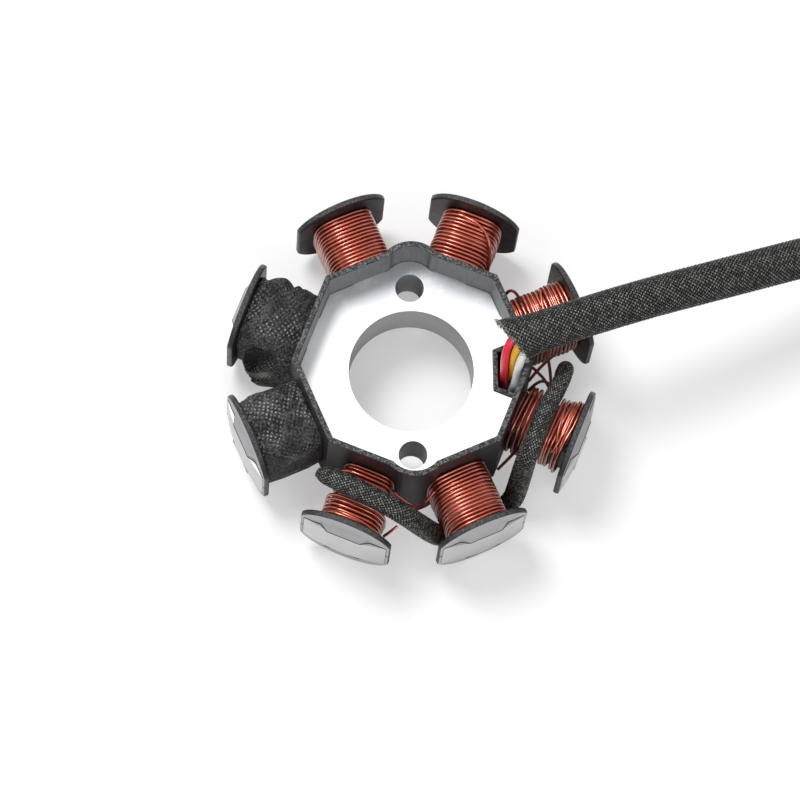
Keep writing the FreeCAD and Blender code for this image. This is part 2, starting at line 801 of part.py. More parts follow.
parts = [core_stack()]
parts.append(bobbin("front_bobbin", 1, size("rimHeight"), size("chamberLip"), False))
parts.append(bobbin("rear_bobbin", -1, size("rearRimHeight"), Size(0, "0"), True))
for number, angle in enumerate(COPPER_ANGLES, start=1):
    parts.append(winding(f"charging_coil_{number}", angle, ridged_profile()))
for number, angle in enumerate(TAPED_ANGLES, start=1):
    parts.append(winding(f"exciter_coil_{number}", angle, plain_profile()))
    parts.append(tape_wrap(f"tape_wrap_{number}", angle))
parts.append(tape_bridge())

# Small braided sleeve: over one coil, under the next and over the last
parts.append(cord("lead_sleeve", size("leadSleeveDiameter").value, SLEEVE_SIDES, [
    (-23.0, -26.3, 29.0), (-14.0, -31.3, 30.2), (-5.6, -35.6, 29.6), (0.6, -37.4, 17.0), (3.2, -38.0, 2.6),
    (25.2, -28.6, 2.6), (27.0, -24.8, 16.0), (28.4, -21.0, 30.4), (31.6, -12.2, 29.8), (36.6, -2.8, 29.2),
    (36.8, 0.3, 17.0),
]))

# Leads from the chamber into the harness
harness_side = Vector(-harness_way.y, harness_way.x, 0).normalize()
harness_up = harness_way.cross(harness_side)
for name, side, rise, reach, foot in CHAMBER_LEADS:
    mouth = harness_mouth + harness_side * side + harness_up * rise
    places = [mouth, mouth - harness_way * reach, foot]
    parts.append(cord(f"lead_{name}", size("leadDiameter").value, LEAD_SIDES, places))

# Bare enamelled wires between the coils, a loop at the rim and a cut end
for name, places in THIN_WIRES.items():
    parts.append(thin_wire(name, places))
tail_places = []
for out, side, rise in WIRE_TAIL:
    place = (*turned(windingEnd + out, windingOuter + side, WIRE_TAIL_ANGLE), middle + rise)
    tail_places.append([number.value for number in place])
parts.append(thin_wire("wire_tail", tail_places))

harness_edges, harness_least = route([Vector(*place) for place in harness_places])
parts.append(tube("harness", harnessDiameter, HARNESS_SIDES, harness_edges, harness_least))
# The coil's section is the square round the cord's own
coil_path = coil_edges() + [tail_edge()]
tightest = COIL_RADIUS - COIL_STEP * COIL_ARCS
parts.append(tube("harness_coil", harnessDiameter * math.sqrt(2), 4, coil_path, tightest))
parts.append(coil_tie())
parts.append(plug_housing())
parts.append(plug_terminals())
for name, slot in zip(("red", "yellow", "white"), PLUG_SLOTS):
    parts.append(plug_lead(name, slot))

doc.recompute()
for item in doc.Objects:
    if {"Invalid", "Error"} & set(item.State):
        raise RuntimeError(f"{item.Name} failed: {item.State}")
os.makedirs("parts", exist_ok=True)
for part in parts:
    if part.Shape.isNull() or not part.Shape.isValid():
        raise RuntimeError(f"{part.Label} has no valid shape")
    part.Shape.exportStep(f"parts/{part.Label}.step")
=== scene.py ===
import bpy
import math
import random
from mathutils import Matrix, Vector


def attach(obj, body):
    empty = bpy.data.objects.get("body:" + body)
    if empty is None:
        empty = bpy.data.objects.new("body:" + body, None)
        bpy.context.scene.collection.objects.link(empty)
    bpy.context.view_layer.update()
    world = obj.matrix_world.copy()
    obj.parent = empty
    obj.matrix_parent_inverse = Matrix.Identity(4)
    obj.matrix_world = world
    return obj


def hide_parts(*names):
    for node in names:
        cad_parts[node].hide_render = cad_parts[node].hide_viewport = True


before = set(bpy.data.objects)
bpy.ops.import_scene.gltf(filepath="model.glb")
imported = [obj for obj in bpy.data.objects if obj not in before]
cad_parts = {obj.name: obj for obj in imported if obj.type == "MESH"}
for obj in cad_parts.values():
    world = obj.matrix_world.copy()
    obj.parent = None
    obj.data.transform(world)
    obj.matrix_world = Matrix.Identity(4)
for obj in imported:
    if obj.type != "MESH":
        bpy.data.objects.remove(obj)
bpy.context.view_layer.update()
mm = 0.001

# What every pole shares, in millimetres: out along the pole, sideways from it and up
pole = {
    "middle": 15.8,
    "coilStart": 26.8,
    "coilEnd": 41.6,
    "flangeBack": 41.696,
    "flangeFront": 43.196,
    "stackHalf": 7,
    "rimTop": 34.5,
}


def polePoint(angle, out, side, up):
    turn = math.radians(angle)
    return Vector((out * math.cos(turn) - side * math.sin(turn),
                   out * math.sin(turn) + side * math.cos(turn), up)) * mm


def poleFrame(place):
    # a place's way out along the nearest pole and sideways from it, in millimetres
    radius = math.hypot(place.x, place.y) / mm
    local = math.radians(math.degrees(math.atan2(place.y, place.x)) % 45 - 22.5)
    return radius * math.cos(local), radius * math.sin(local)


def pick(piece):
    bpy.ops.object.select_all(action="DESELECT")
    piece.select_set(True)
    bpy.context.view_layer.objects.active = piece


def placed(name, data):
    piece = bpy.data.objects.new(name, data)
    bpy.context.scene.collection.objects.link(piece)
    return piece


def meshPiece(name, verts, faces):
    mesh = bpy.data.meshes.new(name)
    mesh.from_pydata(verts, [], faces)
    mesh.shade_smooth()
    return placed(name, mesh)


def scaled(points):
    # points given in millimetres
    return [Vector(at) * mm for at in points]


def edit(action="SELECT"):
    bpy.ops.object.mode_set(mode="EDIT")
    bpy.ops.mesh.select_all(action=action)


def leaveEdit():
    bpy.ops.object.mode_set(mode="OBJECT")


def applyAll(piece):
    pick(piece)
    for modifier in list(piece.modifiers):
        bpy.ops.object.modifier_apply(modifier=modifier.name)


def paint(piece, finish):
    piece.data.materials.clear()
    piece.data.materials.append(finish)


def settle(piece, slot, finish, *nodes):
    # the piece gets its material, rides on the body and stands for its CAD nodes
    paint(piece, finish)
    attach(piece, "root")
    if nodes:
        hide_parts(*nodes)


# Shader maths: a Signal is one output of a node, a Recipe is one material
class Signal:
    def __init__(self, recipe, socket):
        self.recipe = recipe
        self.socket = socket

    def sum(self, operation, *values):
        return self.recipe.node("ShaderNodeMath", {"operation": operation}, dict(enumerate(values)))

    def __add__(self, other):
        return self.sum("ADD", self, other)

    def __sub__(self, other):
        return self.sum("SUBTRACT", self, other)

    def __rsub__(self, other):
        return self.sum("SUBTRACT", other, self)

    def __mul__(self, other):
        return self.sum("MULTIPLY", self, other)

    def __truediv__(self, other):
        return self.sum("DIVIDE", self, other)

    __radd__ = __add__
    __rmul__ = __mul__


class Recipe:
    def __init__(self, name, **fixed):
        self.material = bpy.data.materials.new(name)
        self.material.use_nodes = True
        self.tree = self.material.node_tree
        self.shader = self.tree.nodes["Principled BSDF"]
        for socket, value in fixed.items():
            self.shader.inputs[socket.replace("_", " ")].default_value = value
        self.place = self.node("ShaderNodeTexCoord", output="Object")
        self.facing = self.node("ShaderNodeTexCoord", output="Normal")

    def node(self, kind, settings={}, inputs={}, output=0):
        made = self.tree.nodes.new(kind)
        for key, value in settings.items():
            setattr(made, key, value)
        for key, value in inputs.items():
            self.feed(made.inputs[key], value)
        return Signal(self, made.outputs[output])

    def feed(self, socket, value):
        if isinstance(value, Signal):
            self.tree.links.new(value.socket, socket)
        else:
            socket.default_value = value

    def set(self, **values):
        for socket, value in values.items():
            self.feed(self.shader.inputs[socket.replace("_", " ")], value)

    def vector(self, operation, first, second=(0, 0, 0), output=0):
        return self.node("ShaderNodeVectorMath", {"operation": operation}, {0: first, 1: second}, output)

    def axis(self, vector, name):
        return self.node("ShaderNodeSeparateXYZ", {}, {0: vector}, name)

    def between(self, value, low, high):
        # 0 below low and 1 above high, smooth between them
        return self.node("ShaderNodeMapRange", {"interpolation_type": "SMOOTHSTEP"},
                         {"Value": value, "From Min": low, "From Max": high})

    def noise(self, perMetre, detail=3, rough=0.55, vector=None):
        return self.node("ShaderNodeTexNoise", {}, {
            "Vector": vector or self.place, "Scale": perMetre, "Detail": detail, "Roughness": rough})

    def mix(self, factor, first, second):
        return self.node("ShaderNodeMix", {"data_type": "RGBA"}, {0: factor, 6: first, 7: second}, 2)

    def bump(self, height, distance, strength=1):
        return self.node("ShaderNodeBump", {},
                         {"Height": height, "Distance": distance, "Strength": strength})


def grey(level):
    return level, level, level, 1


# Camera: the photograph's own angle, fitted to the hub, the rim and the flanges
viewpoint = {
    "target": (0, 0, 0.0228),
    "distance": 1.15,
    "azimuth": -9.13,
    "elevation": 73.88,
    "roll": 8.31,
    "lens": 215.93,
    "shift": (-0.01416, -0.03611),
}


def makeCamera(plan):
    turn, rise, roll = (math.radians(plan[key]) for key in ("azimuth", "elevation", "roll"))
    back = Vector((math.sin(turn) * math.cos(rise), -math.cos(turn) * math.cos(rise), math.sin(rise)))
    right = Vector((math.cos(turn), math.sin(turn), 0))
    up = back.cross(right)
    across = right * math.cos(roll) + up * math.sin(roll)
    upward = up * math.cos(roll) - right * math.sin(roll)
    bpy.ops.object.camera_add()
    camera = bpy.context.object
    camera.matrix_world = Matrix((across, upward, back)).transposed().to_4x4()
    camera.location = Vector(plan["target"]) + back * plan["distance"]
    camera.data.lens = plan["lens"]
    camera.data.shift_x, camera.data.shift_y = plan["shift"]
    camera.data.clip_start, camera.data.clip_end = 0.05, 20
    bpy.context.scene.camera = camera


makeCamera(viewpoint)
print("stage: camera")


# Cords: a smooth spline along the route's points, then a mesh along it
def curveOf(name, kind, runs):
    curve = bpy.data.curves.new(name, "CURVE")
    curve.dimensions = "3D"
    for run in runs:
        spline = curve.splines.new(kind)
        spline.points.add(len(run) - 1)
        for point, at in zip(spline.points, run):
            point.co = (*at, 1)
    return curve


def centreline(points, gap):
    # even points, gap apart, along the route's smooth spline
    curve = curveOf("probe", "NURBS", [points])
    curve.resolution_u = 8
    curve.splines[0].order_u = 3
    curve.splines[0].use_endpoint_u = True
    probe = placed("probe", curve)
    line = bpy.data.meshes.new_from_object(probe.evaluated_get(bpy.context.evaluated_depsgraph_get()))
    raw = [vertex.co.copy() for vertex in line.vertices]
    bpy.data.objects.remove(probe)
    bpy.data.meshes.remove(line)
    lengths = [0]
    for before, after in zip(raw, raw[1:]):
        lengths.append(lengths[-1] + (after - before).length)
    count = max(2, round(lengths[-1] / gap))
    even, index = [], 0
    for number in range(count + 1):
        want = lengths[-1] * number / count
        while index < len(raw) - 2 and lengths[index + 1] < want:
            index += 1
        share = (want - lengths[index]) / max(1e-9, lengths[index + 1] - lengths[index])
        even.append(raw[index].lerp(raw[index + 1], min(1, share)))
    return even, lengths[-1]


def framesAlong(line):
    # at each point of the line: its direction and two directions across, turned as little as can be
    frames = []
    across = None
    for number, here in enumerate(line):
        along = (line[min(number + 1, len(line) - 1)] - line[max(number - 1, 0)]).normalized()
        if across is None:
            across = along.cross(Vector((0, 0, 1))).normalized()
        across = (across - along * across.dot(along)).normalized()
        frames.append((here, along, across, across.cross(along)))
    return frames


# Braided sleeving: carriers laid both ways round, each over one and under one of the others
def reachAt(plan, away, left=1000):
    # the braid's radius, drawn in or spread near its ends
    share = 1
    for where, changes in ((away, plan["start"]), (left, plan["end"])):
        for amount, span in changes:
            share += amount * math.exp(-(where / span) ** 2)
    return plan["radius"] * share


def cutAt(plan, turn):
    return plan["slant"] * (1 - math.cos(turn - plan["slantTowards"])) / 2


def braid(name, line, plan, first=0, last=None):
    # Lay has the place across a carrier and in decimetres from the cut, Rise its height and its tone
    frames = framesAlong(line)
    last = len(frames) - 1 if last is None else last
    carriers = plan["carriers"]
    draw = random.Random(plan["seed"])
    step = (line[1] - line[0]).length / mm
    verts, faces, lays, rises = [], [], [], []
    for way in (1, -1):
        for carrier in range(carriers):
            stray = draw.uniform(0, plan["stray"])
            frayed = draw.uniform(0, plan["frayed"])
            tones = {}
            row = None
            for number in range(first, last + 1):
                here, along, across, up = frames[number]
                turn = (way * number / 4 + carrier) * math.tau / carriers
                fromCut = number * step - cutAt(plan, turn)
                if fromCut < frayed:
                    continue
                height = 0.5 + 0.5 * way * math.cos(math.pi * number / 2)
                tone = tones.setdefault((number + 1 + way) // 4, draw.random())
                away = reachAt(plan, number * step, (len(line) - 1 - number) * step) - stray
                away -= (1 - height) * plan["depth"]
                flat = 1 - plan["flat"][0] * math.exp(-(number * step / plan["flat"][1]) ** 2)
                before, row = row, len(verts)
                for edge, crown in ((-1, 0), (0, 1), (1, 0)):
                    angle = turn + edge * plan["fill"] * math.pi / carriers
                    reach = away + (crown - 1) * plan["crown"]
                    outward = across * math.cos(angle) + up * math.sin(angle) * flat
                    verts.append(here + outward * reach * mm)
                    lays.append((edge / 2 + 0.5, fromCut / 100))
                    rises.append((height, tone))
                if before is not None:
                    for edge in (0, 1):
                        faces.append((before + edge, row + edge, row + edge + 1, before + edge + 1)[::way])
    piece = meshPiece(name, verts, faces)
    for layer, marks in (("Lay", lays), ("Rise", rises)):
        uv = piece.data.uv_layers.new(name=layer)
        for loop in piece.data.loops:
            uv.data[loop.index].uv = marks[loop.vertex_index]
    return piece


def frayedEnd(name, line, plan):
    # loose pale filaments that stand out of the cut end
    draw = random.Random(plan["fraySeed"])
    inward, near = plan["filamentRoot"]
    here, along, across, up = framesAlong(line[:3])[0]
    runs = []
    for number in range(plan["filaments"]):
        turn = draw.uniform(0, math.tau) if number % 3 else draw.gauss(plan["slantTowards"] + math.pi, 0.5)
        outward = across * math.cos(turn) + up * math.sin(turn)
        around = up * math.cos(turn) - across * math.sin(turn)
        base = here + (along * (cutAt(plan, turn) + inward) + outward * reachAt(plan, near)) * mm
        tip = base - (along * draw.uniform(0.6, 1.25) - outward * draw.uniform(-0.3, 0.2)
                      - around * draw.uniform(-0.5, 0.5)) * mm
        bow = (outward * draw.uniform(-0.1, 0.25) + around * draw.uniform(-0.3, 0.3)) * mm
        runs.append((base, base.lerp(tip, 0.5) + bow, tip))
    return wireMesh(name, runs, plan["filamentThick"], 0)


def pipe(name, line, radius, sides):
    # a plain closed tube along a line of points
    verts, faces = [], []
    for here, along, across, up in framesAlong(line):
        for side in range(sides):
            angle = side * math.tau / sides
            verts.append(here + (across * math.cos(angle) + up * math.sin(angle)) * radius)
    for ring in range(len(line) - 1):
        for side in range(sides):
            low, high = ring * sides + side, ring * sides + (side + 1) % sides
            faces.append((low, low + sides, high + sides, high))
    faces.append(tuple(range(sides)))
    faces.append(tuple(reversed(range(len(verts) - sides, len(verts)))))
    return meshPiece(name, verts, faces)


# Harness: from its cut end over the rim, down to the table, round once and into the plug
# start, end and flat: by what share the braid is wider or flatter there, and over what length
harnessPlan = {
    "route": ((20.9, 1.7, 39.7), (46.5, 10.3, 39.6), (75, 19.2, 34.5), (104, 29.6, 24),
              (128, 37.6, 12.5), (149, 42, 6.25), (172, 42, 6.25)),
    "coilRadius": 56,
    "coilStep": 3,
    "carriers": 30,
    "lay": 31.4,
    "radius": 4.95,
    "depth": 0.4,
    "crown": 0.24,
    "fill": 0.9,
    "stray": 0.05,
    "frayed": 0.7,
    "start": ((0.19, 6),),
    "end": (),
    "flat": (0.15, 9),
    "slant": 4.3,
    "slantTowards": 2.6,
    "filaments": 90,
    "filamentThick": 0.1,
    "filamentRoot": (0.7, 0.5),
    "seed": 4,
    "fraySeed": 54,
    "pieces": 3,
    "mouth": 21,
    "coreRadius": 4.45,
}


def coilPoints(plan):
    # control points of the coiled turn and its tail, a little outside the turn that they make
    points = []
    centre = Vector((plan["route"][-1][0], plan["route"][-1][1] - plan["coilRadius"]))
    height = plan["route"][-1][2]
    for quarter in range(5):
        radius = plan["coilRadius"] - plan["coilStep"] * quarter
        for part in range(1, 5 if quarter < 4 else 3):
            angle = math.radians(90 - 90 * quarter - 22.5 * part)
            points.append((centre.x + radius * math.cos(angle),
                           centre.y + radius * math.sin(angle), height))
        after = math.radians(-90 * quarter)
        centre += Vector((math.cos(after), math.sin(after))) * plan["coilStep"]
    return points


def braidLine(plan, points):
    # four points along the line for each place where a carrier crosses another
    return centreline(scaled(points), plan["lay"] / plan["carriers"] / 4 * mm)


harnessLine, harnessLength = braidLine(harnessPlan, [*harnessPlan["route"], *coilPoints(harnessPlan)])
print("stage: harness", round(harnessLength, 4), "m")


# Coils: every turn of wire is laid by itself round the pole, in two layers
wirePlan = {
    "half": 7.25,
    "low": 10.05,
    "square": 3.3,
    "thick": 0.76,
    "turns": 17,
    "parts": 44,
    "stepFrom": 0.93,
    "crossParts": 30,
    "crossSpots": 240,
    "sunk": 0.3,
}


def roundTheNeck(half, low, square, parts):
    # one turn as (sideways, up) pairs, from below the pole round to below it again, crowned all round
    spots = []
    for part in range(parts + 1):
        angle = math.tau * part / parts - math.pi / 2
        side, up = math.cos(angle), math.sin(angle)
        spots.append((math.copysign(abs(side) ** (2 / square), side) * half,
                      math.copysign(abs(up) ** (2 / square), up) * low))
    return spots


def wireMesh(name, runs, thick, resolution=2):
    curve = curveOf(name, "POLY", runs)
    curve.bevel_depth = thick / 2 * mm
    curve.bevel_resolution = resolution
    curve.use_fill_caps = True
    pick(placed(name, curve))
    bpy.ops.object.convert(target="MESH")
    piece = bpy.context.object
    piece.data.shade_smooth()
    return piece


def windCoil(name, angle, plan, extra):
    draw = random.Random(extra["seed"])
    runs = []
    start, end = pole["coilStart"] + plan["thick"] / 2, pole["coilEnd"] - plan["thick"] / 2
    layers = [(extra["inner"], (start, end, plan["turns"]))] + [(0, group) for group in extra["groups"]]
    for inward, (first, last, turns) in layers:
        spots = roundTheNeck(plan["half"] - inward, plan["low"] - inward, plan["square"] + inward,
                             plan["parts"])
        loose = 0 if inward else 1
        pitch = (last - first) / (turns - 1)
        run = []
        for turn in range(turns):
            out = first + pitch * turn
            lean = extra["tilt"] + draw.uniform(-1, 1) * extra["lean"] * loose
            lift = draw.uniform(0, extra["lift"]) * loose
            drift = draw.uniform(-1, 1) * extra["drift"] * loose
            for number, (side, up) in enumerate(spots[:-1] if turn < turns - 1 else spots):
                share = number / len(spots)
                advance = pitch * max(0, share - plan["stepFrom"]) / (1 - plan["stepFrom"])
                sway = lean * side / plan["half"] + drift * math.sin(share * math.tau)
                grow = 1 + lift / plan["half"] * (0.5 + 0.5 * math.sin(share * math.tau * 2 + turn))
                at = min(end, max(start, out + sway) + advance)
                run.append(polePoint(angle, at, side * grow + extra["shift"], pole["middle"] + up * grow))
        runs.append(run)
    for fromOut, toOut, fromTurn, toTurn, rise in extra["crossed"]:
        # a wire that lies across the others and dives between them at its ends
        run = []
        count = plan["crossSpots"]
        for number in range(plan["crossParts"] + 1):
            share = number / plan["crossParts"]
            raised = rise * min(1, 6 * share, 6 * (1 - share)) - plan["sunk"]
            spots = roundTheNeck(plan["half"] + raised, plan["low"] + raised, plan["square"], count)
            side, up = spots[round(count / 4 + count * (fromTurn + (toTurn - fromTurn) * share)) % count]
            out = fromOut + (toOut - fromOut) * share ** 1.4
            run.append(polePoint(angle, out, side + extra["shift"], pole["middle"] + up))
        runs.append(run)
    return wireMesh(name, runs, plan["thick"])


# each coil by its pole's angle; inner: how much deeper the layer below lies; groups: from and to along
# the pole, and how many turns; crossed: from and to along the pole, from and to round it, how far raised
coilColumns = ("seed", "shift", "lean", "lift", "drift", "tilt", "inner", "groups", "crossed")
coilRows = {
    22.5: (1, 0, 0.15, 0.25, 0.12, 0.25, 0.75, ((27.3, 41.2, 14),), ((36.5, 31.5, 0.12, 0.4, 0.9),)),
    67.5: (2, 0, 0.1, 0.2, 0.08, -0.2, 0.7, ((27.4, 41.2, 15),), ((40.6, 28.6, 0.2, 0.52, 0.95),)),
    112.5: (3, 0, 0.06, 0.1, 0.05, 0.1, 0.7, ((27.3, 41.2, 16),), ()),
    247.5: (4, 0, 0.1, 0.3, 0.1, 0.15, 1.1, ((29.3, 31.4, 3), (35.8, 41.1, 6)),
            ((40.9, 39.2, 0.02, 0.3, 0.5),)),
    292.5: (5, 0, 0.08, 0.12, 0.05, -0.1, 0.7, ((27.3, 41.2, 16),), ()),
    337.5: (6, 0.6, 0.5, 0.7, 0.3, 0.6, 2, ((28.2, 31.6, 4), (36.4, 41.1, 6)),
            ((40.4, 38.2, 0.1, 0.42, 0.9), (37.2, 40.2, 0.14, 0.44, 0.6))),
}
copperCoils = [windCoil(f"wound_coil_{number}", angle, wirePlan, dict(zip(coilColumns, row)))
               for number, (angle, row) in enumerate(coilRows.items(), start=1)]
print("stage: coils")


# Mouldings and core: merged copies of the CAD nodes with their edges rounded
softPlan = {
    "merge": 0.002,
    "coplanar": 0.6,
    "sharp": 35,
    "bevelled": 28,
    "segments": 2,
    "roundSegments": 4,
    "normalWeight": 60,
}
# where a flange's corners and edges are found, up from the stack and sideways, and how near a place must be
flangePlan = {
    "cornerUp": 0.6,
    "cornerUpNear": 0.1,
    "cornerSide": 10.5,
    "cornerLength": 0.3,
    "edgeUp": 0.45,
    "edgeSide": 10.65,
    "near": 0.03,
    "rimNear": 0.02,
}


def roundOff(piece, width, chosen):
    # rounds the sharp edges that are chosen by their two ends
    pick(piece)
    edit("DESELECT")
    bpy.ops.mesh.select_mode(type="EDGE")
    bpy.ops.mesh.edges_select_sharp(sharpness=math.radians(softPlan["sharp"]))
    leaveEdit()
    mesh = piece.data
    mesh.polygons.foreach_set("select", [False] * len(mesh.polygons))
    for edge in mesh.edges:
        edge.select = edge.select and chosen(*(mesh.vertices[index].co for index in edge.vertices))
    bpy.ops.object.mode_set(mode="EDIT")
    bpy.ops.mesh.bevel(offset=width * mm, segments=softPlan["roundSegments"], affect="EDGES",
                       clamp_overlap=True)
    leaveEdit()


def flangeCorner(first, last):
    # the short edges across a flange, where its arch meets its straight sides
    for place in (first, last):
        rise = abs(place.z / mm - pole["middle"]) - pole["stackHalf"]
        if (abs(poleFrame(place)[1]) < flangePlan["cornerSide"]
                or abs(rise - flangePlan["cornerUp"]) > flangePlan["cornerUpNear"]):
            return False
    return abs(poleFrame(first)[0] - poleFrame(last)[0]) > flangePlan["cornerLength"]


def flangeEdge(first, last):
    # the outline of a flange, on its front and its back
    planes = [poleFrame(place)[0] for place in (first, last)]
    flat = any(all(abs(out - plane) < flangePlan["near"] for out in planes)
               for plane in (pole["flangeFront"], pole["flangeBack"]))
    centre = (first + last) / 2
    return flat and (abs(centre.z / mm - pole["middle"]) > pole["stackHalf"] + flangePlan["edgeUp"]
                     or abs(poleFrame(centre)[1]) > flangePlan["edgeSide"])


def rimEdge(first, last):
    return all(abs(place.z / mm - pole["rimTop"]) < flangePlan["rimNear"] for place in (first, last))


def softened(name, node, width, rounded=()):
    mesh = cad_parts[node].data.copy()
    piece = placed(name, mesh)
    pick(piece)
    mesh.materials.clear()
    if mesh.has_custom_normals:
        bpy.ops.mesh.customdata_custom_splitnormals_clear()
    edit()
    bpy.ops.mesh.remove_doubles(threshold=softPlan["merge"] * mm)
    bpy.ops.mesh.mark_sharp(clear=True)
    bpy.ops.mesh.dissolve_limited(angle_limit=math.radians(softPlan["coplanar"]))
    leaveEdit()
    for chosen, away in rounded:
        roundOff(piece, away, chosen)
    bevel = piece.modifiers.new("soft edges", "BEVEL")
    bevel.width = width * mm
    bevel.segments = softPlan["segments"]
    bevel.limit_method = "ANGLE"
    bevel.angle_limit = math.radians(softPlan["bevelled"])
    bevel.use_clamp_overlap = True
    applyAll(piece)
    bpy.ops.object.shade_smooth_by_angle(angle=math.radians(softPlan["sharp"]))
    weighted = piece.modifiers.new("flat faces", "WEIGHTED_NORMAL")
    weighted.keep_sharp = True
    weighted.weight = softPlan["normalWeight"]
    applyAll(piece)
    return piece


mouldingEdges = ((flangeCorner, 1.1), (flangeEdge, 0.42), (rimEdge, 0.22))
core = softened("core", "core_stack", 0.18)
frontBobbin = softened("front_moulding", "front_bobbin", 0.2, rounded=mouldingEdges)
rearBobbin = softened("rear_moulding", "rear_bobbin", 0.2, rounded=mouldingEdges)
print("stage: core and mouldings")

# Seams: black cords along the gap where the moulding's tabs and flanges meet the steel of the shoes, dark
# as the gap and as painted shade under the tabs' edges
seamPlan = {
    "flange": (43.2, 10.5),
    "foot": (43.25, 6.2),
    "edge": (44.42, 4.2),
    "thick": 0.26,
    "waver": 0.07,
    "above": 0.06,
    "parts": 8,
    "seed": 3,
}


def tabSeams(plan):
    draw = random.Random(plan["seed"])
    runs = []
    for angle in (22.5 + 45 * number for number in range(8)):
        for way in (1, -1):
            up = pole["middle"] + way * (pole["stackHalf"] + plan["above"])
            half = [plan["flange"], plan["foot"], plan["edge"]]
            corners = [(out, -side) for out, side in half] + [(out, side) for out, side in reversed(half)]
            run = []
            for (out0, side0), (out1, side1) in zip(corners, corners[1:]):
                for part in range(plan["parts"]):
                    share = part / plan["parts"]
                    out, side = out0 + (out1 - out0) * share, side0 + (side1 - side0) * share
                    run.append(polePoint(angle, out, side, up + draw.uniform(-1, 1) * plan["waver"]))
            runs.append(run + [polePoint(angle, *corners[-1], up)])
    return wireMesh("shoe_seams", runs, plan["thick"], 1)


shoeSeams = tabSeams(seamPlan)


# Tape: a ring about the pole, spun from its section and then pulled into folds
tapePlan = {
    "half": 7.8,
    "low": 10.6,
    "bend": 3.7,
    "thick": 0.9,
    "bulge": 0.55,
    "bulgePower": 0.7,
    "tilt": 0.25,
    "gap": 0.02,
    "past": 0.03,
    "around": 160,
    "along": 56,
    "lumps": 50,
    "wrinkles": 16,
}


def tapeRing(name, angle, plan, folds, seed):
    bpy.ops.mesh.primitive_circle_add(vertices=plan["along"] * 2)
    piece = bpy.context.object
    piece.name = name
    # the section: its outer half runs out along the pole, its inner half runs back
    for vertex in piece.data.vertices:
        share = vertex.index / plan["along"]
        vertex.co = (share, 0, 2) if share < 1 else (2 - share, 0, 1)
    edit()
    bpy.ops.mesh.spin(steps=plan["around"], angle=math.tau, center=(0, 0, 0), axis=(1, 0, 0))
    bpy.ops.mesh.select_all(action="SELECT")
    bpy.ops.mesh.remove_doubles(threshold=1e-5)
    bpy.ops.mesh.normals_make_consistent(inside=False)
    leaveEdit()
    layer = piece.data.uv_layers.new(name="Tape")
    start, end = pole["coilStart"], pole["flangeBack"] + plan["past"]
    draw = random.Random(seed)
    # each lump: where it is, its height and how wide it is both ways
    lumps = [(draw.uniform(0, 1), draw.uniform(0, 1), draw.uniform(-0.3, 0.3), draw.uniform(0.04, 0.14),
              draw.uniform(0.015, 0.05)) for _ in range(plan["lumps"])]
    wrinkles = []
    for _ in range(plan["wrinkles"]):
        share0, turn0 = draw.uniform(0, 0.8), draw.uniform(0, 0.9)
        share1, turn1 = share0 + draw.uniform(0.1, 0.35), turn0 - draw.uniform(0.05, 0.2)
        rise, wide = draw.uniform(0.15, 0.35), draw.uniform(0.03, 0.05)
        wrinkles.append(((share0, turn0), (share1, turn1), rise, wide))
    girth = 4 * (plan["half"] + plan["low"]) - (8 - math.tau) * plan["bend"]
    spots = {}
    for vertex in piece.data.vertices:
        share = vertex.co.x
        turn = math.atan2(vertex.co.z, vertex.co.y) / math.tau % 1
        outer = Vector((vertex.co.y, vertex.co.z)).length - 1
        side, up = aroundRing(turn, plan["half"], plan["low"], plan["bend"])
        swell = math.sin(math.pi * min(1, max(0, share))) ** plan["bulgePower"]
        away = plan["thick"] + plan["bulge"] * swell
        for foldShare, foldTurn, rise, wideShare, wideTurn in lumps:
            away += rise * math.exp(-((share - foldShare) / wideShare) ** 2
                                    - (wrapped(turn - foldTurn) / wideTurn) ** 2)
        for (share0, turn0), (share1, turn1), rise, wide in (*folds, *wrinkles):
            away += rise * ridge(share, turn, share0, turn0, share1, turn1, wide)
        tilt = plan["tilt"] * math.sin(turn * math.tau * 2 + seed)
        reach = away * outer + plan["gap"]
        centreWay = Vector((side, up)).normalized()
        side, up = side + centreWay.x * reach, up + centreWay.y * reach
        out = start + (end - start) * share + tilt * math.sin(math.pi * share)
        spots[vertex.index] = (turn * girth, share * (end - start))
        vertex.co = polePoint(angle, out, side, pole["middle"] + up)
    for polygon in piece.data.polygons:
        turns = [spots[index][0] for index in polygon.vertices]
        for loop, index in zip(polygon.loop_indices, polygon.vertices):
            along, across = spots[index]
            if max(turns) - along > girth / 2:
                along += girth
            layer.data[loop].uv = (along, across)
    piece.data.shade_smooth()
    pick(piece)
    edit()
    bpy.ops.mesh.normals_make_consistent(inside=False)
    leaveEdit()
    return piece


def aroundRing(turn, half, low, bend):
    # the point at this share of the way round a ring with rounded corners, from +side over the top
    straightUp, straightSide, arc = 2 * (low - bend), 2 * (half - bend), math.pi / 2 * bend
    girth = 2 * (straightUp + straightSide) + 4 * arc
    at = turn * girth
    x, y = half - bend, low - bend
    legs = ((straightUp / 2, "line", (half, 0), (0, 1)), (arc, "arc", (x, y), 0),
            (straightSide, "line", (x, low), (-1, 0)), (arc, "arc", (-x, y), 90),
            (straightUp, "line", (-half, y), (0, -1)), (arc, "arc", (-x, -y), 180),
            (straightSide, "line", (-x, -low), (1, 0)), (arc, "arc", (x, -y), 270),
            (straightUp / 2, "line", (half, -y), (0, 1)))
    for length, kind, origin, way in legs:
        if at <= length or (length, kind, origin, way) == legs[-1]:
            if kind == "line":
                return origin[0] + way[0] * at, origin[1] + way[1] * at
            angle = math.radians(way) + at / bend
            return origin[0] + bend * math.cos(angle), origin[1] + bend * math.sin(angle)
        at -= length


def wrapped(turn):
    return (turn + 0.5) % 1 - 0.5


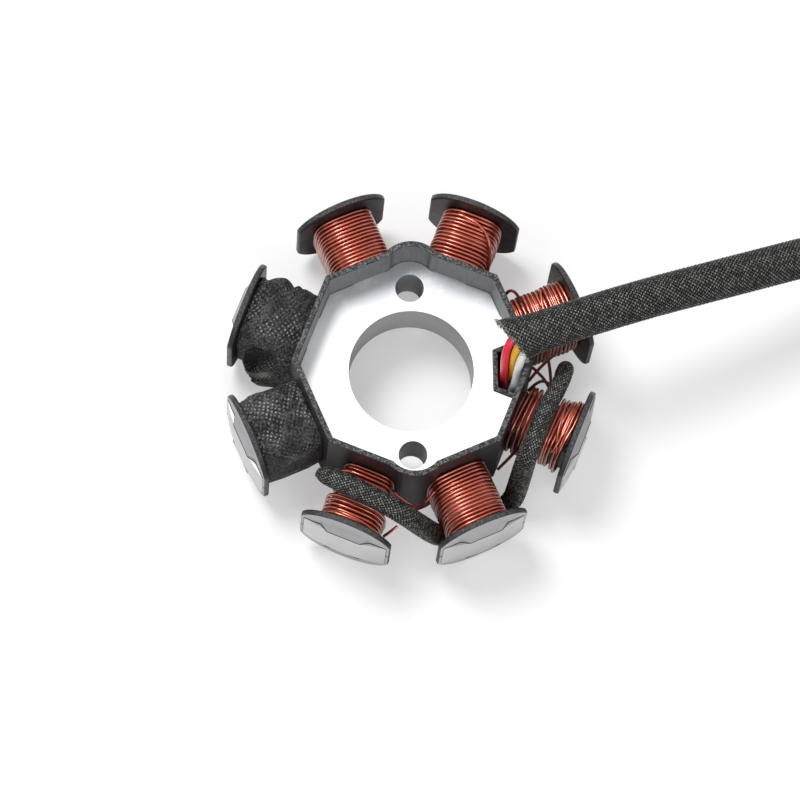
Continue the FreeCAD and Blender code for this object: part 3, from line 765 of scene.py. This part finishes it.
def ridge(share, turn, share0, turn0, share1, turn1, wide, girthShare=3.2):
    # how near a point is to a fold's line, from 0 to 1; the way round is girthShare times the way out
    along = Vector((share1 - share0, wrapped(turn1 - turn0) * girthShare))
    here = Vector((share - share0, wrapped(turn - turn0) * girthShare))
    where = min(1, max(0, here.dot(along) / along.length ** 2))
    away = (here - along * where).length
    ease = math.sin(math.pi * (0.15 + 0.7 * where))
    return ease * math.exp(-(away / wide) ** 2)


tapeFolds = {
    # each fold: where it begins and ends (share of the way out, share of the way round), height, width
    157.5: (((0.5, 0.44), (0.85, 0.3), 1.2, 0.09), ((0.4, 0.44), (0.62, 0.24), -1, 0.06),
            ((0.66, 0.46), (0.98, 0.36), -0.8, 0.05), ((0.3, 0.46), (0.52, 0.28), 0.6, 0.05),
            ((0.12, 0.44), (0.34, 0.22), 0.45, 0.045), ((0.02, 0.42), (0.22, 0.24), 0.4, 0.045),
            ((0.25, 0.4), (0.45, 0.18), 0.4, 0.045), ((0.1, 0.48), (0.1, 0.42), -0.9, 0.12),
            ((0.62, 0.28), (0.8, 0.12), 0.3, 0.05), ((0.88, 0.42), (0.92, 0.12), -0.5, 0.07)),
    202.5: (((0.1, 0.1), (0.75, 0.16), 0.5, 0.09), ((0.5, 0.34), (0.95, 0.4), 0.5, 0.07),
            ((0.05, 0.38), (0.3, 0.26), 0.4, 0.05), ((0.02, 0.3), (0.18, 0.14), 0.5, 0.045),
            ((0.3, 0.22), (0.8, 0.3), 0.35, 0.05), ((0.4, 0.08), (0.9, 0.05), 0.4, 0.06),
            ((0.86, 0.4), (0.93, 0.1), -0.45, 0.07)),
}
tapeWraps = []
for number, (angle, folds) in enumerate(tapeFolds.items(), start=1):
    tapeWraps.append(tapeRing(f"tape_winding_{number}", angle, tapePlan, folds, number * 7))
print("stage: tape")


# Tape bridge: a sheet of tape folded from one taped coil round the rim's corner to the other
bridgePlan = {
    "rows": (
        ((-39.6, 5.6, 24), (-36.7, 5.2, 24), (-33.1, 4.6, 24.5), (-29.8, 4, 25), (-26.9, 3, 25)),
        ((-40.7, 4.2, 20), (-37.4, 4, 14.8), (-34.3, 2.8, 20.5), (-30.7, 1.8, 22.4), (-26.9, 0.8, 23.2)),
        ((-39.7, 2.3, 15.6), (-37, 2.2, 12.6), (-34.3, 1.4, 18.6), (-31, 0.4, 20.6), (-26.9, -1.4, 22)),
        ((-37.7, 1.2, 12.4), (-35.4, 0.6, 12.6), (-33.1, 0, 16.6), (-30.7, -1.2, 18.6), (-27.2, -3.2, 20)),
        ((-36.8, 1.2, 8), (-34.7, 0.8, 8.6), (-32.5, 0.2, 10), (-30, -0.8, 11), (-27.4, -2.2, 12))),
    "flat": (15, 13),
    "levels": 4,
    "thick": 0.7,
    "lumps": 40,
    "waver": 0.35,
    "seed": 5,
}


def tapeBridge(plan):
    count = len(plan["rows"])
    bpy.ops.mesh.primitive_grid_add(x_subdivisions=count - 1, y_subdivisions=count - 1, size=1)
    piece = bpy.context.object
    piece.name = "tape_roll"
    for vertex in piece.data.vertices:
        column, row = (round((value + 0.5) * (count - 1)) for value in (vertex.co.x, vertex.co.y))
        vertex.co = Vector(plan["rows"][row][column]) * mm
    piece.data.uv_layers[0].name = "Tape"
    for loop in piece.data.uv_layers["Tape"].data:
        loop.uv = (loop.uv.x * plan["flat"][0], loop.uv.y * plan["flat"][1])
    smooth = piece.modifiers.new("smooth", "SUBSURF")
    smooth.levels = smooth.render_levels = plan["levels"]
    applyAll(piece)
    draw = random.Random(plan["seed"])
    lumps = [(Vector(draw.choice(piece.data.vertices).co), draw.uniform(-1, 1), draw.uniform(0.6, 1.6) * mm)
             for _ in range(plan["lumps"])]
    for vertex in piece.data.vertices:
        rise = sum(amount * math.exp(-((vertex.co - at).length / wide) ** 2) for at, amount, wide in lumps)
        vertex.co += vertex.normal * rise * plan["waver"] * mm
    wall = piece.modifiers.new("wall", "SOLIDIFY")
    wall.thickness = plan["thick"] * mm
    wall.offset = 0
    applyAll(piece)
    piece.data.shade_smooth()
    return piece


tapeRoll = tapeBridge(bridgePlan)

# Small braided sleeve: over one coil, under the next and over the last
sleevePlan = {
    "route": ((-23.7, -26.1, 28.6), (-20.5, -27.5, 29.4), (-16.6, -29.4, 29.9), (-12.8, -31.4, 30),
              (-9.5, -33.1, 29.4), (-6.4, -34.4, 28.5), (-2.3, -36.1, 25), (1.4, -37, 19), (4.4, -37.1, 12),
              (7.4, -36.4, 4.5), (12, -34.8, 2.8), (24.4, -28.4, 2.8),
              (25.8, -25.4, 14), (26.8, -22.8, 27.6), (28.6, -19.2, 30.6), (31.2, -12.4, 30.5),
              (34.9, -6, 30.3), (36.7, -1.7, 29), (37, 0.6, 22), (36.8, 1, 15)),
    "carriers": 18,
    "lay": 16.4,
    "radius": 2.68,
    "depth": 0.3,
    "crown": 0.2,
    "fill": 0.9,
    "stray": 0.04,
    "frayed": 0.2,
    "start": ((-0.2, 5), (-0.45, 1.6)),
    "end": ((-0.28, 28),),
    "flat": (0, 1),
    "slant": 0.8,
    "slantTowards": -math.pi / 2,
    "seed": 8,
    "mouth": 14,
    "coreRadius": 1.72,
}
sleeveLine, _ = braidLine(sleevePlan, sleevePlan["route"])
sleeveBraid = braid("lead_sleeve_braid", sleeveLine, sleevePlan)
# painted shade: a near-black tube inside the small sleeve stands in for the shade inside it
sleeveCore = pipe("lead_sleeve_inside", sleeveLine[sleevePlan["mouth"]:-3],
                  sleevePlan["coreRadius"] * mm, 20)
harnessBraids = []
for part in range(harnessPlan["pieces"]):
    first, last = (round((len(harnessLine) - 1) * (part + more) / harnessPlan["pieces"]) for more in (0, 1))
    harnessBraids.append(braid(f"harness_braid_{part + 1}", harnessLine, harnessPlan, first, last))
harnessFray = frayedEnd("harness_fray", harnessLine, harnessPlan)
cordLine = harnessLine[harnessPlan["mouth"]:]
# painted shade: a near-black tube inside the harness braid stands in for the shade inside it
harnessCore = pipe("harness_inside", cordLine, harnessPlan["coreRadius"] * mm, 28)
print("stage: braids")

# Leads in the chamber, and their other ends in the plug
# how far apart their points are, then each kind's radius and sides
leadSizes = {"gap": 0.5, "chamber": (0.98, 16), "plug": (0.86, 12)}
leadPlans = {
    "lead_red": (
        (27, 5, 39.2), (24.6, 4.4, 39.2), (22.9, 2.7, 38.3), (22.2, 1.5, 36), (21.9, 0.3, 32),
        (22, -1.1, 27), (22.5, -2.2, 17)),
    "lead_yellow": (
        (28.6, 3.4, 39.2), (26, 2.6, 39), (24.6, 1.2, 37.8), (24.1, 0.3, 35), (24, -0.3, 31),
        (24.3, -1, 24), (24.6, -0.4, 17)),
    "lead_white": (
        (30, 1.7, 39.2), (27.2, 0.7, 38.9), (25.8, -0.7, 37.6), (25.3, -1.6, 35.5), (24.9, -2.6, 31),
        (24.7, -3.9, 24), (24.2, -3.8, 17)),
}
leadPieces = {}


def layLead(name, points, radius, sides):
    line, _ = centreline(scaled(points), leadSizes["gap"] * mm)
    leadPieces[name] = pipe(name + "_wire", line, radius * mm, sides)


for name, route in leadPlans.items():
    layLead(name, route, *leadSizes["chamber"])
# the harness's end and its heading, the space between its leads there, and their seats in the plug
plugPlan = {"begin": (203.11, 17.11, 2.15), "heading": 45, "spread": 2.16,
            "seat": (210.01, -1.99, 2.15), "pitch": 5}
heading = math.radians(plugPlan["heading"])
way = Vector((math.sin(heading), -math.cos(heading), 0))
for slot, colour in zip((-1, 0, 1), ("red", "yellow", "white")):
    start = Vector(plugPlan["begin"]) + Vector((-way.y, way.x, 0)) * plugPlan["spread"] * slot
    seat = Vector(plugPlan["seat"]) + Vector((plugPlan["pitch"] * slot, 0, 0))
    turn = start + way * (seat.x - start.x) / way.x
    layLead("plug_lead_" + colour, (start - way, start, turn, seat), *leadSizes["plug"])
print("stage: leads")

# Bare wires between the coils, the loop at the rim and the cut end
thinGap = 0.4 * mm
thinWires = {
    "link_wire_1": (((-4.8, -30.4, 24), (-2.4, -32.2, 22.6), (0.2, -32.9, 21), (1.1, -33.3, 19.6),
                     (1.4, -33.2, 19.8), (3.4, -31.6, 22.8), (5, -30.2, 24.4)),),
    "link_wire_2": (((20.3, -23.8, 20), (23.6, -20.5, 19), (26.4, -16.9, 17.5)),),
    "link_wire_3": (((28.1, -2.7, 22.6), (31.1, 0.9, 24), (34.6, 3.9, 22.6)),
                    ((28, -4.6, 20.6), (30.2, -2.6, 22), (32.8, -2.4, 21.6), (35.6, -5, 20))),
    "link_wire_4": (((32.6, 4.9, 23.4), (33.1, 1.9, 22.8), (33.6, -1.2, 21), (33.8, -5.2, 19.4)),
                    ((29.2, 0.9, 22), (30.4, -0.6, 22.6), (32.2, -2, 21.2), (34.4, -5.6, 19))),
    "wire_loop": (((22.8, 18, 25), (23.4, 18.6, 28.4), (25.6, 17.6, 28.8), (26.4, 15.7, 26.9)),),
    "wire_tail": (((-7, -38.4, 13.6), (-5.6, -37.9, 15.4), (-3.8, -36.6, 16.2)),),
}
thinPieces = {}
for name, routes in thinWires.items():
    runs = [centreline(scaled(route), thinGap)[0] for route in routes]
    thinPieces[name] = wireMesh(name + "_bare", runs, wirePlan["thick"])

plugShell = softened("plug_shell", "plug_housing", 0.35)
plugBlades = softened("plug_blades", "plug_terminals", 0.08)
tieBand = softened("tie_band", "coil_tie", 0.2)
print("stage: plug and tie")


# Materials
def mouldingFinish():
    # black moulding: rough and pitted, painted paler on top as the light its tops catch; smooth inside the
    # rim and on the tabs, painted grey there as their highlights
    r = Recipe("black moulding", Specular_IOR_Level=0.22)
    up = r.axis(r.facing, "Z")
    level = r.vector("MULTIPLY", r.place, (1, 1, 0))
    radius = r.vector("LENGTH", level, output=1)
    facing = r.vector("DOT_PRODUCT", r.vector("NORMALIZE", level), r.facing, 1)
    far = r.between(radius, 0.0385, 0.0395)
    tab = r.between(facing, 0.86, 0.95) * far
    inner = r.between(facing * -1, 0.8, 0.92) * (1 - far)
    top = r.between(up, 0.55, 0.9)
    speckle = r.noise(2100, 5, 0.75)
    blotch = r.noise(420, 3, 0.6)
    grain = r.noise(9000, 2, 0.6)
    pits = 1 - r.between(r.noise(1500, 2, 0.6), 0.33, 0.42)
    nicks = r.between(r.noise(2000, 3, 0.75), 0.62, 0.7)
    dark = r.mix(blotch, (0.01, 0.01, 0.011, 1), (0.024, 0.024, 0.026, 1))
    # painted light: the up-facing tops are painted paler with pale specks, less so far out on the ears; the
    # moulding's own nicks are paler and its pits stay dark
    pale = r.mix(r.between(speckle, 0.42, 0.69), (0.012, 0.012, 0.013, 1), (0.23, 0.232, 0.24, 1))
    pale = r.mix(far * 0.6, pale, (0.045, 0.045, 0.048, 1))
    pale = r.mix(nicks * 0.5, pale, grey(0.34))
    pale = r.mix(pits * 0.75, pale, grey(0.022))
    # painted highlight: the smooth inner walls of the rim are painted grey, with upright streaks, as the
    # light they reflect
    lines = r.noise(2200, 2, 0.5, r.vector("MULTIPLY", r.place, (1, 1, 0.06)))
    smooth = r.mix(lines, (0.145, 0.15, 0.158, 1), (0.265, 0.27, 0.282, 1))
    # painted highlight: the tabs' outward faces are painted grey as the light they reflect
    tabHighlight = r.mix(blotch, (0.3, 0.3, 0.308, 1), (0.42, 0.42, 0.43, 1))
    colour = r.mix(top, dark, pale)
    colour = r.mix(inner * 0.85, colour, smooth)
    colour = r.mix(tab, colour, tabHighlight)
    r.set(Base_Color=colour, Roughness=0.3 + 0.28 * top + 0.1 * blotch + 0.15 * tab + 0.12 * inner,
          Normal=r.bump(speckle * (0.2 + top) + grain * 0.3 - pits * top, 0.00012, 0.8))
    return r.material


def zincFinish():
    # plated steel: pale satin faces with a few dark specks, greyer walls with fine lines
    r = Recipe("plated core")
    z = r.axis(r.place, "Z")
    up = z.sum("ABSOLUTE", r.axis(r.facing, "Z"))
    radius = r.vector("LENGTH", r.vector("MULTIPLY", r.place, (1, 1, 0)), output=1)
    face = r.between(up, 0.6, 0.9) * (1 - r.between(radius, 0.034, 0.036))
    cloud = r.noise(160, 4, 0.6)
    grain = r.noise(5200, 2, 0.7)
    spread = r.between(r.noise(120, 1), 0.5, 0.62)
    speck = r.between(r.noise(1900, 1, 0.5), 0.755, 0.785) * spread * face
    # a lamination every half millimetre
    seam = r.between(z.sum("FRACT", z / 0.0005), 0.84, 0.97) * (1 - face)
    bright = r.mix(cloud, (0.8, 0.81, 0.83, 1), (0.9, 0.905, 0.91, 1))
    wall = r.mix(cloud, (0.46, 0.46, 0.458, 1), (0.6, 0.6, 0.595, 1))
    colour = r.mix(face, r.mix(seam * 0.7, wall, grey(0.16)), bright)
    # painted reflection and shade: the hub's face is painted mottled blue-grey towards the far rim, as the
    # dark rim walls reflected in it and their shade
    rimReflectionShade = r.between(r.axis(r.place, "Y"), 0.006, 0.026) * r.between(cloud + grain * 0.5, 0.3, 0.8)
    colour = r.mix(rimReflectionShade * face * 0.9, colour, (0.4, 0.43, 0.46, 1))
    colour = r.mix(speck * 0.7, colour, (0.2, 0.2, 0.21, 1))
    r.set(Base_Color=colour, Metallic=0.85 - 0.3 * face, Roughness=0.42 + 0.1 * cloud + 0.12 * grain,
          Normal=r.bump(grain * 0.5 + seam, 0.00003, 0.6))
    return r.material


def copperFinish():
    # enamelled copper: dark red in the gaps, a clear coat with bright highlights
    r = Recipe("enamelled copper", Coat_Roughness=0.14, Coat_IOR=1.75, Coat_Tint=(1, 0.88, 0.82, 1))
    cloud = r.noise(260, 3, 0.6)
    streak = r.noise(2400, 3, 0.6)
    colour = r.mix(cloud, (0.33, 0.045, 0.023, 1), (0.6, 0.14, 0.07, 1))
    colour = r.mix(r.between(streak, 0.55, 0.8) * 0.6, colour, (0.26, 0.045, 0.03, 1))
    r.set(Base_Color=colour, Metallic=0.8, Roughness=0.24 + 0.12 * streak, Coat_Weight=0.9,
          Normal=r.bump(streak, 0.00002, 0.5))
    return r.material


def linkFinish():
    # the wires between the coils are darker, almost brown
    r = Recipe("dark enamel", Specular_IOR_Level=0.2, Coat_Roughness=0.2, Coat_Weight=0.25)
    cloud = r.noise(500, 3, 0.6)
    r.set(Base_Color=r.mix(cloud, (0.07, 0.014, 0.012, 1), (0.15, 0.03, 0.022, 1)),
          Roughness=0.35 + 0.1 * cloud, Normal=r.bump(cloud, 0.00002, 0.4))
    return r.material


def tapeFinish(name, lip):
    # cloth tape with rows of small pressed dots, painted bright as glints in some patches and faint
    # elsewhere
    r = Recipe(name, Specular_IOR_Level=0.2, Coat_Roughness=0.38)
    lay = r.node("ShaderNodeUVMap", {"uv_map": "Tape"})
    wander = r.node("ShaderNodeTexNoise", {}, {"Vector": r.place, "Scale": 260, "Detail": 2}, 1)
    bent = r.node("ShaderNodeVectorMath", {"operation": "MULTIPLY_ADD"}, {0: wander, 1: (1, 1, 0), 2: lay})
    rolled = r.node("ShaderNodeVectorRotate", {"rotation_type": "Z_AXIS"}, {"Vector": bent, "Angle": 0.6})
    dots = r.node("ShaderNodeTexVoronoi", {}, {"Vector": rolled, "Scale": 1.12, "Randomness": 0.2})
    dot = 1 - r.between(dots, 0.1, 0.38)
    # painted highlight: the dots, and the threads less so, are painted bright in these patches, as glints
    # where the cloth catches the light
    glintPatch = r.between(r.noise(150, 4, 0.7), 0.46, 0.68)
    clear = dot * (0.1 + 0.9 * glintPatch)
    fibre = r.between(r.noise(1600, 4, 0.8), 0.36, 0.7)
    thread = r.between(r.noise(1500, 3, 0.7), 0.5, 0.66)
    shade = r.between(r.noise(240, 3, 0.6), 0.36, 0.62)
    colour = r.mix(fibre * (0.35 + 0.65 * shade), (0.001, 0.001, 0.0012, 1), (0.17, 0.167, 0.165, 1))
    colour = r.mix(thread * (0.25 + 0.75 * glintPatch) * (0.3 + 0.7 * shade), colour, (0.28, 0.276, 0.27, 1))
    # painted highlight: the pressed dots painted pale as glints
    colour = r.mix(clear, colour, (0.52, 0.52, 0.53, 1))
    if lip:
        # the bridge: painted shade where it comes out from under the wrap, pale beige along its fold
        across, down = r.axis(lay, "X"), r.axis(lay, "Y")
        left = 1 - r.between(across, 5, 10)
        # painted shade: near-black next to the wrap's edge, mostly on the left part
        under = (1 - r.between(down, 2.4, 5.2)) * (0.12 + 0.88 * left)
        beigeFold = r.between(down, 5.6, 6.6) * (1 - r.between(down, 7.2, 8.6)) * left
        colour = r.mix(under * 0.9, colour, (0.002, 0.002, 0.002, 1))
        colour = r.mix(beigeFold * 0.9, colour, (0.36, 0.32, 0.27, 1))
    r.set(Base_Color=colour, Roughness=0.62 - 0.2 * clear + 0.12 * fibre,
          Coat_Weight=0.3 * thread + 0.7 * clear,
          Normal=r.bump(fibre * 0.8 + dot * 0.9 + thread * 0.6, 0.0003, 1))
    return r.material


def braidFinish(name, pale, glint):
    # each carrier is a flat band of glossy filaments: painted light on its crown, painted shade where it
    # dives under, with painted glints
    r = Recipe(name, Specular_IOR_Level=0.1, Coat_Roughness=0.3, Coat_IOR=1.7)
    lay = r.node("ShaderNodeUVMap", {"uv_map": "Lay"})
    rise = r.node("ShaderNodeUVMap", {"uv_map": "Rise"})
    across, along = r.axis(lay, "X"), r.axis(lay, "Y")
    crown = across * (1 - across) * 4
    height, tone = r.axis(rise, "X"), r.axis(rise, "Y")
    # painted light and shade: crowns painted lighter, the dives between carriers painted near-black
    lit = r.between(crown * height, 0.25, 0.95)
    threads = across.sum("SINE", across * 38)
    tuft = r.noise(3000, 3, 0.7)
    # painted highlight: glints painted pale on the crowns
    glints = r.between(tuft + tone * 0.3, 0.5, 0.85) * lit
    cut = (1 - r.between(along, 0.005, 0.013)) * r.between(tuft, 0.4, 0.6)
    colour = r.mix(lit, (0.002, 0.002, 0.002, 1), (0.04, 0.04, 0.038, 1))
    colour = r.mix(glints * glint, colour, (0.46, 0.46, 0.43, 1))
    colour = r.mix(cut * pale, colour, (0.22, 0.2, 0.165, 1))
    r.set(Base_Color=colour, Roughness=0.65 - 0.2 * lit, Coat_Weight=lit * (0.3 + 0.7 * tone),
          Normal=r.bump(crown * 1.2 + threads * 0.25 + tuft * 0.6, 0.00012, 0.9))
    return r.material


def plainFinish(name, first, second, rough, scale=400, metal=0):
    r = Recipe(name, Metallic=metal)
    cloud = r.noise(scale, 3, 0.6)
    r.set(Base_Color=r.mix(cloud, (*first, 1), (*second, 1)), Roughness=rough + 0.12 * cloud,
          Normal=r.bump(cloud, 0.00002, 0.5))
    return r.material


moulding, zinc, copper = mouldingFinish(), zincFinish(), copperFinish()
tape, bridgeTape = tapeFinish("cloth tape", False), tapeFinish("bridge tape", True)
harnessCloth, sleeveCloth = braidFinish("harness braid", 0.8, 0.36), braidFinish("sleeve braid", 0.1, 0.6)
frayCloth = plainFinish("frayed filaments", (0.16, 0.15, 0.13), (0.5, 0.47, 0.4), 0.5, 1500)
dullWire = linkFinish()
# the seam cords: dark as the gap and as painted shade under the tabs
seamGapShade = plainFinish("seam", (0.008, 0.008, 0.008), (0.02, 0.02, 0.02), 0.7)
# painted shade: near-black for the tubes that stand in for the shade inside the braids
inside = plainFinish("shade inside braid", (0.006, 0.006, 0.006), (0.015, 0.015, 0.015), 0.6)
coverings = {
    "red": plainFinish("red covering", (0.84, 0.02, 0.06), (0.9, 0.035, 0.085), 0.28),
    "yellow": plainFinish("yellow covering", (0.85, 0.42, 0.01), (0.9, 0.5, 0.02), 0.28),
    "white": plainFinish("white covering", (0.83, 0.83, 0.81), (0.88, 0.88, 0.86), 0.28),
}
plugNylon = plainFinish("plug nylon", (0.7, 0.69, 0.64), (0.76, 0.75, 0.7), 0.35)
tieNylon = plainFinish("tie nylon", (0.02, 0.02, 0.02), (0.035, 0.035, 0.035), 0.35)
tinned = plainFinish("tinned brass", (0.72, 0.66, 0.5), (0.8, 0.76, 0.64), 0.25, metal=1)

settle(core, "core_steel", zinc, "core_stack")
settle(frontBobbin, "moulding", moulding, "front_bobbin")
settle(rearBobbin, "moulding", moulding, "rear_bobbin")
for number, coil in enumerate(copperCoils, start=1):
    settle(coil, "copper_wire", copper, f"charging_coil_{number}")
for number, wrap in enumerate(tapeWraps, start=1):
    settle(wrap, "tape", tape, f"tape_wrap_{number}")
    paint(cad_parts[f"exciter_coil_{number}"], dullWire)
settle(tapeRoll, "tape", bridgeTape, "tape_bridge")
settle(sleeveBraid, "braid", sleeveCloth, "lead_sleeve")
settle(sleeveCore, "braid", inside)
for piece in harnessBraids:
    settle(piece, "braid", harnessCloth)
settle(harnessFray, "braid", frayCloth)
settle(harnessCore, "braid", inside, "harness", "harness_coil")
for name, piece in leadPieces.items():
    colour = name.split("_")[-1]
    settle(piece, "lead_" + colour, coverings[colour], name)
for name, piece in thinPieces.items():
    settle(piece, "copper_wire", copper if name in ("link_wire_1", "wire_tail") else dullWire, name)
settle(shoeSeams, "moulding", seamGapShade)
settle(plugShell, "plug_plastic", plugNylon, "plug_housing")
settle(plugBlades, "terminal_metal", tinned, "plug_terminals")
settle(tieBand, "tie_plastic", tieNylon, "coil_tie")
print("stage: materials")

# Floor, light and background
studio = {
    "lookAt": (0.02, 0, 0.01),
    "key": {"size": 0.46, "power": 10.5, "at": (-0.34, 0.36, 1.05)},
    "front": {"size": 0.8, "power": 4.5, "at": (0.1, -0.9, 0.65)},
    "world": 0.4,
    "floorGlow": 0.42,
}
bpy.ops.mesh.primitive_plane_add(size=6)
floor = bpy.context.object
floor.name = "floor"
paper = Recipe("floor paper", Roughness=0.9, Specular_IOR_Level=0.1)
paper.set(Base_Color=paper.mix(paper.noise(30, 2), grey(0.9), grey(0.92)))
floor.data.materials.append(paper.material)
# to the camera the paper is a little brighter, so its shadows stay faint
paperRays = paper.node("ShaderNodeLightPath")
paperGlow = paper.node("ShaderNodeEmission", inputs={"Color": grey(1)})
paperBlend = paper.node("ShaderNodeMixShader", {}, {
    0: paperRays * studio["floorGlow"], 1: Signal(paper, paper.shader.outputs[0]), 2: paperGlow})
paper.tree.links.new(paperBlend.socket, paper.tree.nodes["Material Output"].inputs["Surface"])

world = bpy.data.worlds.new("studio")
bpy.context.scene.world = world
world.use_nodes = True
sky = world.node_tree
sky.nodes.clear()
paths = sky.nodes.new("ShaderNodeLightPath")
seen = paths.outputs["Is Camera Ray"]
for ray in ("Is Glossy Ray", "Is Transmission Ray"):
    either = sky.nodes.new("ShaderNodeMath")
    either.operation = "MAXIMUM"
    sky.links.new(seen, either.inputs[0])
    sky.links.new(paths.outputs[ray], either.inputs[1])
    seen = either.outputs[0]
strength = sky.nodes.new("ShaderNodeMapRange")
sky.links.new(seen, strength.inputs["Value"])
strength.inputs["To Min"].default_value = studio["world"]
glow = sky.nodes.new("ShaderNodeBackground")
glow.inputs["Color"].default_value = (1, 1, 1, 1)
sky.links.new(strength.outputs["Result"], glow.inputs["Strength"])
out = sky.nodes.new("ShaderNodeOutputWorld")
sky.links.new(glow.outputs[0], out.inputs["Surface"])

for name in ("key", "front"):
    plan = studio[name]
    bpy.ops.object.light_add(type="AREA", location=plan["at"])
    lamp = bpy.context.object
    lamp.name = name + "_lamp"
    lamp.data.shape = "DISK"
    lamp.data.size = plan["size"]
    lamp.data.energy = plan["power"]
    lamp.rotation_mode = "QUATERNION"
    lamp.rotation_quaternion = (Vector(studio["lookAt"]) - lamp.location).to_track_quat("-Z", "Y")

bpy.context.scene.view_settings.view_transform = "Standard"
print("stage: light")
